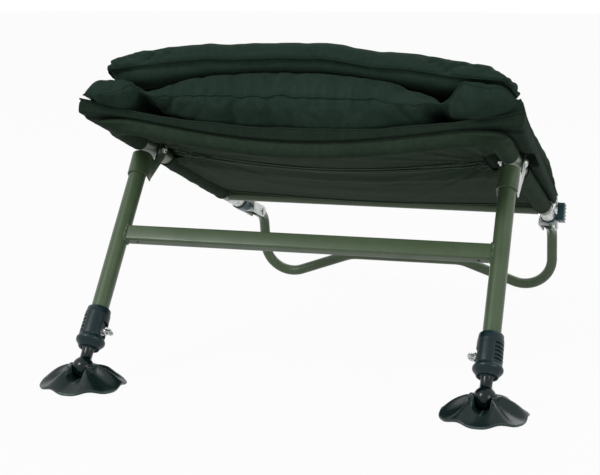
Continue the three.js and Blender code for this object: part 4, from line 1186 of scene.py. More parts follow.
    def collar(self, looks: Finishes, word: str, side: int) -> None:
        """One clamping collar: a ribbed barrel with a flat pad in front and a window for the screw."""
        bore, guide = self.radius + 0.0003, 0.0106
        drops = np.arange(0.2965, 0.3300, 0.0004)
        barrel = zip((0.0180 + 0.0006 * ramp(drops, 0.2965, 0.322)).tolist(), (-drops).tolist())
        outline = [
            (bore, -0.287), (0.0152, -0.287), (0.0162, -0.2873), (0.0168, -0.2881), (0.0174, -0.2935),
            (0.0178, -0.2958), *barrel, (0.0185, -0.3306), (0.0186, -0.3330), (0.0190, -0.3340),
            (0.0200, -0.3348), (0.0206, -0.3360), (0.0208, -0.3376), (0.0206, -0.3392), (0.0199, -0.3406),
            (0.0188, -0.3420), (0.0173, -0.3438), (0.0160, -0.3456), (0.0152, -0.3472), (0.0148, -0.3484),
            (0.0140, -0.3490), (guide, -0.3490), (guide, -0.3038), (bore, -0.3038),
        ]
        body = turned(f"clamp_collar_{word}", outline, steps=128)
        points = points_of(body.data)
        angle = np.arctan2(points[:, 1], points[:, 0] * side)
        drop, radius = -points[:, 2], np.hypot(points[:, 0], points[:, 1])
        outside = smoothstep(1.0 - np.abs(angle + 0.08), 0, 0.08)
        groove = smoothstep(np.cos((drop - 0.3040) / 0.0058 * 2 * math.pi), 0.1, 0.5)
        ribs = outside * groove * ramp(drop, 0.3020, 0.3028) * (1 - ramp(drop, 0.3318, 0.3324))
        front = smoothstep(0.44 - np.abs(angle + math.pi / 2 - 0.02), 0, 0.03)
        pad = front * smoothstep(drop, 0.3030, 0.3038) * (1 - smoothstep(drop, 0.3322, 0.3328))
        shell = radius > 0.0175
        scale = np.where(shell, 1 + (0.0012 * pad - 0.0021 * ribs) / np.maximum(radius, 1e-6), 1)
        points[:, :2] *= scale[:, None]
        points[:, 2] -= self.collar_shift
        set_points(body, points)
        reach, height, width = self.window
        near, far = side * -reach, side * -0.03
        opening = block("opening", (min(near, far), -width / 2, -self.window_drop - height / 2),
                        (max(near, far), width / 2, -self.window_drop + height / 2))
        modified(opening, "BEVEL", width=0.0022, segments=4)
        carved(body, opening)
        dress(moved(body, self.on_leg(side)), looks.nylon, Slot.PLASTIC, Body.LEGS, f"adjuster_collar_{word}")

    def wing_screw(self, looks: Finishes, word: str, side: int) -> None:
        """One bright clamping screw, with its threads, its hub and two wings."""
        threads = [(0.0052 + 0.0010 * (step % 2), 0.0112 + 0.0007 * step) for step in range(9)]
        core = turned("core", [
            (0, 0.0112), *threads, (0.0064, 0.0178), (0.0064, 0.0192), (0.0054, 0.0198), (0.0034, 0.0200),
            (0.0032, 0.0232), (0.0022, 0.0240), (0, 0.0241),
        ], steps=40)
        moved(core, Matrix.Rotation(math.pi / 2, 4, "Y"))
        leaves = []
        for wing in (-1, 1):
            shares = np.linspace(0, 1, 22)
            reach = 0.0046 + 0.0076 * np.sin(shares * math.pi) ** 0.55
            outline = [
                (wing * (0.0005 + float(far) * (1 - 0.18 * float(share))), 0.0180 + 0.0104 * float(share))
                for far, share in zip(reach, shares)
            ]
            leaf = plate("leaf", [(0, 0.0180), *outline, (0, 0.0284)], -0.0010, 0.0010, 0.0006)
            moved(leaf, Matrix(((0, 0, 1, 0), (0, 1, 0, 0), (-1, 0, 0, 0), (0, 0, 0, 1))))
            leaves.append(mended(leaf))
        screw = joined(f"clamp_screw_{word}", core, *leaves)
        mirror = Matrix.Diagonal((-side, 1, 1, 1))
        moved(screw, self.on_leg(side, -self.window_drop) @ mirror)
        mended(screw)
        dress(screw, looks.zinc, Slot.STEEL, f"screw_{word}", f"wing_screw_{word}")

    def stud(self, looks: Finishes, word: str, side: int) -> None:
        """One inner tube, and the polished stud with the ball that carries the foot."""
        tube = turned(f"inner_tube_{word}", [
            (0.0088, -0.180), (0.0099, -0.180), (0.0103, -0.1804), (0.0103, -0.3491), (0.0088, -0.3491),
        ])
        dress(moved(tube, self.on_leg(side)), looks.paint, Slot.PAINT, f"leg_extension_{word}")
        ball = [
            (self.ball_radius * math.sin(angle), -self.ball_drop + self.ball_radius * math.cos(angle))
            for angle in np.linspace(0.66, math.pi, 30)
        ]
        stud = turned(f"ball_stud_{word}", [
            (0, -0.3496), (0.0100, -0.3496), (0.0106, -0.3499), (0.0108, -0.3506), (0.0106, -0.3514),
            (0.0098, -0.3522), (0.0088, -0.3530), (0.0083, -0.3544), (0.0082, -0.3640), (0.0084, -0.3668),
            (0.0089, -0.3690), *ball,
        ], steps=96)
        moved(stud, self.on_leg(side))
        dress(stud, looks.ball, Slot.PLASTIC, f"leg_extension_{word}", f"inner_leg_{word}")


@dataclass(frozen=True)
class MudFoot:
    """A wide moulded foot: a fluted cone with six folds round a hub that snaps over a ball."""

    place: tuple[float, float, float] = (0.280974, -0.396686, 0.0255)
    radius: float = 0.0605
    hub_height: float = 0.0312
    lobes: int = 6
    valley: float = 0.0195
    ridge: float = 0.0098
    lift: float = 0.0046
    swell: float = 0.0042
    slot: float = 0.0122
    slot_floor: float = 0.0122
    ball: float = 0.0161

    def fold(self, angle: Grid) -> Grid:
        """The share of each ridge's height, 0 in the valleys and 1 on the creases."""
        return ((1 - np.cos(self.lobes * (angle + math.pi / 2))) / 2) ** 1.5

    def build(self, looks: Finishes) -> None:
        """Makes both feet."""
        x, y, height = self.place
        rim = self.radius
        cone = [
            (radius, 0.0036 + (self.valley - 0.0036) * ((rim - radius) / (rim - 0.0235)) ** 1.3)
            for radius in np.linspace(rim - 0.0008, 0.0235, 40)
        ]
        under = [(radius, 0.0002) for radius in np.linspace(0.0275, rim - 0.0016, 20)]
        hub = [
            (0.0226, 0.0204), (0.0218, 0.0214), (0.0213, 0.0226), (0.0209, 0.0244), (0.0207, 0.0262),
            (0.0208, 0.0276), (0.0210, 0.0290), (0.0207, 0.0302), (0.0199, 0.0310), (0.0188, self.hub_height),
            (0.0176, 0.0310), (0.0165, 0.0300), (0.0160, 0.0285),
        ]
        lip = [(rim - 0.0002, 0.0016), (rim, 0.0028)]
        outline = [(0, 0), (0.0265, 0), *under, *lip, *cone, *hub, (0, 0.028)]
        for word, side in SIDES.items():
            foot = turned(f"mud_foot_{word}_moulding", outline, steps=216)
            points = points_of(foot.data)
            angle, radius = np.arctan2(points[:, 1], points[:, 0]), np.hypot(points[:, 0], points[:, 1])
            fold, share = self.fold(angle), ramp(radius, 0.0225, rim)
            top = smoothstep(points[:, 2], 0.0022, 0.0036) * (1 - ramp(points[:, 2], self.valley, 0.0302))
            tall = self.ridge + (self.lift - self.ridge) * share + self.swell * np.sin(math.pi * share)
            low = self.lift * ramp(radius, 0.030, rim) ** 2 * (points[:, 2] < self.valley)
            points[:, 2] += fold * (low + (tall - low) * top)
            # The socket's rim is lower at the back, where the stud leans over it
            behind = smoothstep(points[:, 1], 0.003, 0.013)
            points[:, 2] -= 0.0026 * behind * ramp(points[:, 2], self.valley, 0.0285)
            pinch = 1 - 0.05 * ramp(radius, 0.03, rim) * fold
            points[:, :2] *= pinch[:, None]
            set_points(foot, points)
            socket = added(bpy.ops.mesh.primitive_uv_sphere_add, segments=64, ring_count=32, radius=self.ball)
            moved(socket, Matrix.Translation((0, 0, height)))
            mouth = added(bpy.ops.mesh.primitive_cylinder_add, vertices=64, radius=self.slot, depth=0.05)
            centre = self.slot_floor + self.slot
            moved(mouth, Matrix.Translation((0, -0.025, centre)) @ Matrix.Rotation(math.pi / 2, 4, "X"))
            gap = block("gap", (-self.slot, -0.05, centre), (self.slot, 0, 0.05))
            carved(foot, socket, mouth, gap)
            sharp = math.radians(50)
            modified(foot, "BEVEL", width=0.0004, segments=2, limit_method="ANGLE", angle_limit=sharp)
            soft_shaded(foot, 35)
            moved(foot, Matrix.Translation((side * x, y, 0)))
            dress(foot, looks.rubber, Slot.PLASTIC, f"foot_{word}", f"mud_foot_{word}")


# Sewn cloth


def round_rows(start: float, end: float, reach: float, pitch: float, plain: float = 0.0) -> tuple[Grid, Grid]:
    """Stations from a rounded front edge to a rounded rear edge.

    Args:
        start: the front edge.
        end: the rear edge.
        reach: how far from an edge its rounding goes.
        pitch: the distance between stations along the cloth.
        plain: the distance between stations away from the edges, where it differs.

    Returns:
        The stations, and at each the share of the full height that the rounding leaves.
    """
    count = max(4, round(reach * math.pi / 2 / pitch))
    angle = np.linspace(0, math.pi / 2, count + 1)[:-1]
    edge = reach * (1 - np.cos(angle))
    flat = max(2, round((end - start - 2 * reach) / (plain or pitch)))
    middle = np.linspace(start + reach, end - reach, flat + 1)
    stations = np.concatenate([start + edge, middle, (end - edge)[::-1]])
    shares = np.concatenate([np.sin(angle), np.ones(len(middle)), np.sin(angle)[::-1]])
    return stations, shares


@dataclass(frozen=True)
class Mattress:
    """The seat mattress: a wide middle lobe and two narrow side lobes, sewn flat between them."""

    half: float = 0.301
    rear_half: float = 0.290
    front: float = -0.024
    rear: float = 0.578
    rounding: float = 0.040
    side_rounding: float = 0.020
    seam: float = 0.205
    uneven: float = 0.016
    wider: float = 0.007
    pitch: float = 0.0044
    plain_pitch: float = 0.0085
    puckers: tuple[tuple[float, float, float], ...] = (
        (-0.213, 1.0, 0.5), (-0.196, 0.8, 0.3), (-0.168, 0.5, -0.3), (-0.078, 1.1, -0.5), (-0.032, 1.5, 0.2),
        (-0.015, 0.9, 0.9), (0.006, 0.7, -0.4), (0.060, 0.5, 0.3), (0.118, 0.5, -0.4), (0.143, 1.1, 0.5),
        (0.153, 0.8, -0.7), (0.184, 0.8, -0.3),
        (0.224, 1.0, 0.2), (0.262, 0.7, 0.4), (-0.238, 1.2, 0.7), (-0.247, 1.1, -0.6), (-0.266, 0.7, 0.2),
    )
    lift: float = 0.0006
    pressure: float = 3.0
    reach: float = 0.012
    slack: float = 0.035

    def lens(self, x: Grid, s: Grid, upper: bool = False) -> Grid:
        """The share of the full height that the sewn lines leave at the front and farther back.

        Args:
            x: places across.
            s: places along.
            upper: asks for the upper panel, which is fuller at its ends.

        Returns:
            The share at each place.
        """
        seam = np.where(x < 0, self.seam + self.uneven, self.seam)
        power = np.where(x < 0, 9.0, 7.0) if upper else np.where(x < 0, 3.4, 3.6)
        inner = np.maximum(0, 1 - (np.abs(x) / seam) ** power) ** (0.5 if upper else 0.7)
        middle, reach = (self.half + seam) / 2, (self.half - seam) / 2
        off = (np.abs(x) - middle) / (reach * 1.03)
        outer = np.maximum(0, 1 - np.abs(off) ** np.where((off < 0) & (x < 0) & upper, 7.0, 2.3)) ** 0.5
        front = np.where(np.abs(x) < seam, inner, outer)
        behind = 1 - 0.62 * bump(np.abs(x), self.seam, 0.017)
        share = smoothstep(s, self.front + 0.02, self.front + 0.16)
        return front * (1 - share) + behind * share

    def floor(self, x: Grid, s: Grid) -> Grid:
        """The pad's top, on which the mattress lies."""
        return LINES.pad_top(x, s) + self.lift

    def roof(self, x: Grid, s: Grid) -> Grid:
        """The underside of the folded backrest; the side lobes swell a little before it."""
        lobe = smoothstep(np.abs(x), self.seam, self.seam + 0.025)
        swell = 0.0052 * (1 - smoothstep(s, 0.0, 0.06)) + 0.0165 * (1 - smoothstep(s, -0.032, -0.018))
        middle = 0.0030 * (1 - smoothstep(s, -0.006, 0.004)) + 0.0085 * (1 - smoothstep(s, -0.034, -0.022))
        return LINES.cushion_floor(x, s) - 0.0004 + lobe * swell + (1 - lobe) * middle

    def seam_height(self, x: Grid, s: Grid) -> Grid:
        """Height of the seam round the mattress, which waves where its two panels are eased together."""
        low, high = self.floor(x, s), self.roof(x, s)
        near = 1 - smoothstep(s, 0.0, 0.1)
        level = 0.10 * bump(x, -0.221, 0.02) - 0.20 * smoothstep(-x, 0.225, 0.25)
        level = level - 0.10 * smoothstep(-x, 0.26, 0.3)
        level = level + 0.34 * smoothstep(x, 0.212, 0.238) - 0.06 * bump(x, 0.205, 0.014)
        ends = 0.006 * smoothstep(np.abs(x), 0.15, 0.21) * (1 - smoothstep(np.abs(x), 0.225, 0.25))
        wave = 0.0026 * wrinkle(x, s * 0, 0.07, 3) + 0.0011 * wrinkle(x, s * 0, 0.02, 4)
        wave = wave - 0.003 * bump(x, -0.032, 0.012)
        return low + (high - low) * (0.45 + level * near) + ends * near + wave

    def surface(self, x: Grid, s: Grid, share: Grid, side: int) -> Grid:
        """Height of the upper or lower panel."""
        seam = self.seam_height(x, s)
        tucked = (1 - smoothstep(s, -0.022, 0.03)) * (np.abs(x) < self.seam + 0.012)
        limit = self.roof(x, s) if side > 0 else self.floor(x, s) + 0.0125 * tucked
        swell = share * self.lens(x, s, side > 0)
        return seam + (limit - seam) * np.maximum(swell, 0.03)

    def clear(self, points: Grid) -> Grid:
        """Keeps the cloth between the pad and the folded backrest."""
        x, s, n = points.T
        s = np.clip(s, self.front - 0.018, self.rear)
        n = np.clip(n, self.floor(x, s), self.roof(x, s))
        return np.stack([np.clip(x, -self.half, self.half + self.wider), s, n], -1)

    def build(self, looks: Finishes) -> None:
        """Sews, fills and dresses the mattress, with piping along its front seam."""
        stations, shares = round_rows(self.front, self.rear, self.rounding, self.pitch, self.plain_pitch)
        across, edges = round_rows(-1.0, 1.0, self.side_rounding / self.half, self.pitch / self.half)
        half = self.half + (self.rear_half - self.half) * ramp(stations, 0, self.rear)
        x = across[None, :] * half[:, None] + self.wider * smoothstep(across, 0.7, 1.0)[None, :]
        s = np.broadcast_to(stations[:, None], x.shape)
        share = shares[:, None] * edges[None, :]
        # The front edge curves back at the sewn lines and at the ends of the lobes
        pull = 0.016 * (1 - self.lens(x, np.full_like(x, self.front))) * (1 - smoothstep(s, self.front, 0.09))
        lobe = smoothstep(np.abs(x), self.seam + 0.012, self.seam + 0.04)
        lobe = lobe * (1 - smoothstep(np.abs(x), 0.272, self.half))
        pull = pull - (0.013 * lobe + 0.008 * (1 - lobe)) * (1 - smoothstep(s, self.front, 0.04))
        share = share ** (1 - 0.35 * (1 - smoothstep(s, 0.0, 0.04)))
        inward = s - self.front
        gather = np.zeros_like(x)
        for at, depth, lean in self.puckers:
            gather += depth * np.exp(-(((x - at - lean * inward) / (0.0042 + 0.12 * inward)) ** 2))
        gather = -0.0034 * gather * np.exp(-inward / 0.022) * np.minimum(1, 2.5 * share)
        small = wrinkle(x + 0.4 * s, s, 0.021, 11)
        gather -= 0.0016 * np.abs(small) * bump(np.abs(x), self.seam, 0.014)
        crease = 0.0026 * wrinkle(x + 0.6 * s, s, 0.045, 5) * smoothstep(s, self.front, 0.0)
        grids = []
        for side in (1, -1):
            n = self.surface(x, s + pull, share, side) + side * (gather - np.maximum(crease, 0) * share)
            grids.append(np.stack([x, s + pull, n], -1))
        points, faces, edge = closed_grid(*grids)
        points = self.clear(points)
        piece = cloth_mesh("mattress", SEAT.place(points), faces, points[:, :2])
        held = edge | (np.abs(np.abs(points[:, 0]) - self.seam) < 0.004)
        inflated(piece, held, self.pressure, self.reach, self.slack)
        self.settle(piece)
        modified(piece, "SUBSURF", levels=1, render_levels=1)
        dress(piece, looks.plush, Slot.CUSHION, Body.SEAT, "seat_mattress")
        self.piping(looks, grids[0])

    def settle(self, piece: Piece) -> None:
        """Presses the filled cover back between its neighbours."""
        world = points_of(piece.data)
        back = SEAT.matrix().inverted()
        flat = world @ np.array(back.to_3x3()).T + np.array(back.translation)
        set_points(piece, SEAT.place(self.clear(flat)))

    def piping(self, looks: Finishes, upper: Grid) -> None:
        """A thin welt along the front seam."""
        path = SEAT.place(upper[0] + np.array([0, -0.0006, 0]))
        welt = bent_tube("mattress_seam", resampled(path, 0.004), 0.0010, 3)
        dress(welt, looks.plush, Slot.CUSHION, Body.SEAT)


@dataclass(frozen=True)
class SeatPad:
    """The thin base pad on the sling: a boxed edge with piping, and a skirt over the rails."""

    clearance: float = 0.0153
    nose: float = 0.006
    foot: float = 0.0032
    slot: tuple[float, float, float, float] = (0.247, 0.161, 0.238, 0.0195)
    cover: float = 0.0005
    wall_steps: int = 6
    rows: int = 96
    columns: int = 112

    def floor(self, x: Grid, s: Grid) -> Grid:
        """Height of the pad's underside, over the sling, the tube's sleeve and the leg brackets."""
        away = LINES.bar_distance(x, s)
        panel = LINES.seat_panel(np.clip(x, -LINES.rail, LINES.rail), np.maximum(s, LINES.front))
        over = np.sqrt(np.maximum(self.clearance**2 - away**2, 0))
        inside = (np.abs(x) < LINES.rail) & (s > LINES.front)
        low = np.where(inside, 0.0018, np.where(s < LINES.front, self.nose, self.foot))
        height = panel + np.maximum(over, low)
        start, near, far, top = self.slot
        inside_slot = smoothstep(np.abs(x), start - 0.004, start) * smoothstep(s, near - 0.006, near)
        inside_slot = inside_slot * (1 - smoothstep(s, far, far + 0.006))
        inside_slot = inside_slot * (np.abs(x) < LINES.pad_edge_x(s) - 0.003)
        ceiling = np.minimum(top, LINES.pad_top(x, s) - self.cover)
        return np.maximum(height, height + (ceiling - height) * inside_slot)

    def build(self, looks: Finishes) -> None:
        """Makes the pad and its piping."""
        front, rear = LINES.pad_front, LINES.pad_rear
        even = np.linspace(-1, 1, self.columns)
        u = np.sin(even * math.pi / 2) * 0.35 + even * 0.65
        v = np.linspace(0, 1, self.rows) ** 1.25
        s = np.broadcast_to((front + (rear - front) * v)[:, None], (self.rows, self.columns))
        x = u[None, :] * LINES.pad_edge_x(s)
        wave = 0.0012 * wrinkle(x, s, 0.09, 21) * np.exp(-(s - front) / 0.03)
        upper = np.stack([x, s, LINES.pad_top(x, s) + wave], -1)
        steps = self.wall_steps
        col = np.minimum(np.arange(self.columns), np.arange(self.columns)[::-1])
        row = np.minimum(np.arange(self.rows), np.arange(self.rows)[::-1])
        depth = np.minimum(np.minimum(row[:, None], col[None, :]), steps) / steps
        inner_u = np.concatenate([
            np.full(steps, -1.0), np.linspace(-1, 1, self.columns - 2 * steps), np.full(steps, 1.0),
        ])
        inner_v = np.concatenate([
            np.zeros(steps), np.linspace(0, 1, self.rows - 2 * steps) ** 1.25, np.ones(steps),
        ])
        low_s = np.broadcast_to((front + (rear - front) * inner_v)[:, None], s.shape)
        low_x = inner_u[None, :] * LINES.pad_edge_x(low_s)
        top = LINES.pad_top(low_x, low_s)
        floor = self.floor(low_x, low_s)
        belly = 0.0022 * np.sin(depth * math.pi)
        gather = 0.0008 * wrinkle(low_x + low_s, low_s * 0, 0.022, 8) * np.sin(depth * math.pi)
        outward_x = np.sign(low_x) * (np.abs(inner_u)[None, :] >= 1)
        outward_s = -1.0 * (inner_v <= 0)[:, None] + 1.0 * (inner_v >= 1)[:, None]
        lower = np.stack([
            low_x + outward_x * (gather + 0.6 * belly),
            low_s + outward_s * (gather + 0.4 * belly),
            top + (floor - top) * depth,
        ], -1)
        points, faces, _ = closed_grid(upper, lower)
        piece = mended(cloth_mesh("seat_base_pad", SEAT.place(points), faces, points[:, :2]), 1e-5)
        modified(piece, "SUBSURF", levels=1, render_levels=1)
        dress(piece, looks.pad, Slot.SLING, Body.SEAT, "seat_pad")
        edge = np.concatenate([upper[1:, 0][::-1], upper[0], upper[1:, -1]])
        welt = bent_tube("pad_piping", resampled(SEAT.place(edge), 0.004), 0.0012, 4)
        dress(welt, looks.piping, Slot.SLING, Body.SEAT)


@dataclass(frozen=True)
class SeatSlings:
    """The front and rear cloth panels, with their sleeves, hems and tension folds."""

    sleeve_end: float = 0.140
    front_end: float = 0.192
    rear_start: float = 0.200
    rear_end: float = 0.552
    notch_end: float = 0.258
    notch_half: float = 0.236
    panel_half: float = 0.262
    thick: float = 0.0013
    hem: float = 0.013
    hem_inset: float = 0.001
    hem_drop: float = 0.0014
    columns: int = 150
    corner: tuple[float, float] = (0.291, -0.002)

    def folds(self, x: Grid, s: Grid) -> Grid:
        """Tension folds that fan out from the leg brackets."""
        total = np.zeros(np.shape(x))
        for side in (-1, 1):
            dx, ds = x - side * (self.notch_half + 0.012), s - 0.199
            away, angle = np.hypot(dx, ds), np.arctan2(ds, -side * dx)
            fan = wrinkle(angle, away * 0, 0.19, 17 + side)
            fan = np.sign(fan) * np.abs(fan) ** 0.7
            total += 0.0032 * fan * np.exp(-away / 0.11) * smoothstep(away, 0.008, 0.04)
        return total

    def panel_half_at(self, s: Grid) -> Grid:
        """Half the panel's width, which narrows at the leg brackets."""
        open_front = smoothstep(s, 0.128, 0.150)
        open_rear = 1 - smoothstep(s, 0.246, 0.262)
        return self.panel_half - (self.panel_half - self.notch_half) * open_front * open_rear

    def height(self, x: Grid, s: Grid) -> Grid:
        """Height of the panels' middle."""
        crease = 0.0022 * bump(s, 0.285, 0.02) - 0.0012 * bump(s, 0.252, 0.02)
        slack = 0.0009 * wrinkle(s, x, 0.12, 4) * smoothstep(0.25 - np.abs(x), 0, 0.12)
        hang = 0.004 * np.sin(math.pi * ramp(s, self.rear_start, self.rear_end))
        return LINES.seat_panel(x, s) + self.folds(x, s) + (slack - crease - hang) * smoothstep(s, 0.02, 0.06)

    def strip(self, name: str, start: float, end: float, rows: int, under: bool) -> Piece:
        """A flat panel, or the narrower strip that doubles its edge underneath."""
        s = np.broadcast_to(np.linspace(start, end, rows)[:, None], (rows, self.columns))
        x = np.linspace(-1, 1, self.columns)[None, :] * (self.panel_half_at(s) - under * self.hem_inset)
        n = self.height(x, s) - under * self.hem_drop
        piece = skin(name, SEAT.place(np.stack([x, s, n], -1)), uv=np.stack([x, s + under * 0.5], -1))
        return modified(piece, "SOLIDIFY", thickness=self.thick, offset=0)

    def panel(self, name: str, start: float, end: float) -> Piece:
        """One flat panel, with its thickness."""
        return self.strip(name, start, end, max(8, round((end - start) / 0.004)), False)

    def band(self, name: str, start: float, end: float) -> Piece:
        """A doubled strip of cloth under a panel's edge."""
        return self.strip(name, start, end, 5, True)

    def seam(self, name: str, station: float, looks: Finishes, drop: float) -> Piece:
        """A row of stitches across a panel."""
        half = float(self.panel_half_at(np.array(station))) - 0.006
        x = np.linspace(-half, half, 240)
        s = np.full_like(x, station)
        path = SEAT.place(np.stack([x, s, self.height(x, s) + drop], -1))
        down = np.array([0, -math.sin(SEAT.lean), -math.cos(SEAT.lean)])
        piece = stitches(name, path, np.broadcast_to(down, path.shape))
        return dress(piece, looks.thread, Slot.SLING, Body.SEAT)

    def front_sleeve(self) -> Piece:
        """The sleeve round the front bar, cut square at the corners so that it ends there in two points."""
        path = resampled(Framework().seat_path(self.sleeve_end), 0.0045)
        centre_x, centre_s = LINES.rail - LINES.bend, LINES.front + LINES.bend
        dx, ds = np.abs(path[:, 0]) - centre_x, centre_s - path[:, 1]
        reach = (self.corner[0] - centre_x, centre_s - self.corner[1])
        turn, tip = cut_square(dx, ds, reach, LINES.bend)
        radius = LINES.sleeve
        tip = np.maximum(tip, radius * 1.04)
        angle = np.linspace(0, 2 * math.pi, 56, endpoint=False)
        signed = np.where(angle > math.pi, angle - 2 * math.pi, angle)
        touch = np.arccos(radius / tip)[:, None]
        share = np.clip(np.abs(signed)[None, :] / touch, 0, 1)
        at_o, at_u = radius * np.cos(touch), radius * np.sin(touch)
        flat_o = tip[:, None] + (at_o - tip[:, None]) * share
        flat_u = np.sign(signed)[None, :] * at_u * share - 0.2 * np.maximum(flat_o - radius, 0)
        on_flat = np.abs(signed)[None, :] < touch
        section_o = np.where(on_flat, flat_o, radius * np.cos(signed)[None, :])
        section_u = np.where(on_flat, flat_u, radius * np.sin(signed)[None, :])
        length = run_of(path)
        bent = bump(turn, math.pi / 4, 0.5)[:, None] * (dx > -0.03)[:, None]
        ripple = 0.0006 * wrinkle(length[:, None] + 0 * signed[None, :], 0.02 * signed[None, :], 0.03, 31)
        overlap = (0.0007 * smoothstep(signed, 0.24, 0.30) * (1 - smoothstep(signed, 2.2, 2.6)))[None, :]
        grow = 1 + (ripple * (0.4 + 1.4 * bent) + overlap) / radius
        grid = swept(path, np.stack([section_o * grow, section_u * grow], -1))
        uv = np.stack(np.meshgrid(signed * radius, length), -1)
        piece = skin("front_sleeve", SEAT.place(grid), wrap=True, uv=uv)
        return modified(piece, "SOLIDIFY", thickness=LINES.sleeve_cloth, offset=-1)

    def rail_sleeve(self, side: int) -> Piece:
        """One sleeve of the rear panel, round a rail."""
        s = np.arange(self.notch_end, self.rear_end + 1e-6, 0.006)
        path = np.stack([np.full_like(s, side * LINES.rail), s, 0 * s], -1)
        return sleeved(f"rail_sleeve_{side}", path, s, 40, 0.05, 0.01, 0.05, 40 + side)

    def build(self, looks: Finishes) -> None:
        """Makes both slings."""
        front = joined(
            "front_sling", self.front_sleeve(), self.panel("panel", 0.022, self.front_end),
            self.band("hem", self.front_end - self.hem, self.front_end),
        )
        dress(front, looks.sling, Slot.SLING, Body.SEAT, "seat_sling_front")
        front_seams = [
            self.seam("front_hem_stitches", self.front_end - self.hem + 0.002, looks, -0.0021),
            self.seam("front_edge_stitches", self.front_end - 0.003, looks, -0.0021),
            self.seam("front_sleeve_stitches", 0.036, looks, -0.0007),
        ]
        rear = joined(
            "rear_sling", self.panel("panel", self.rear_start, self.rear_end),
            self.band("hem", self.rear_start, self.rear_start + self.hem),
            self.band("rear_hem", self.rear_end - self.hem, self.rear_end),
            self.rail_sleeve(-1), self.rail_sleeve(1),
        )
        dress(rear, looks.sling, Slot.SLING, Body.SEAT, "seat_sling_rear")
        rear_seams = [
            self.seam("rear_hem_stitches", self.rear_start + self.hem - 0.002, looks, -0.0021),
            self.seam("rear_edge_stitches", self.rear_start + 0.003, looks, -0.0021),
            self.seam("rear_end_stitches", self.rear_end - self.hem + 0.002, looks, -0.0021),
        ]


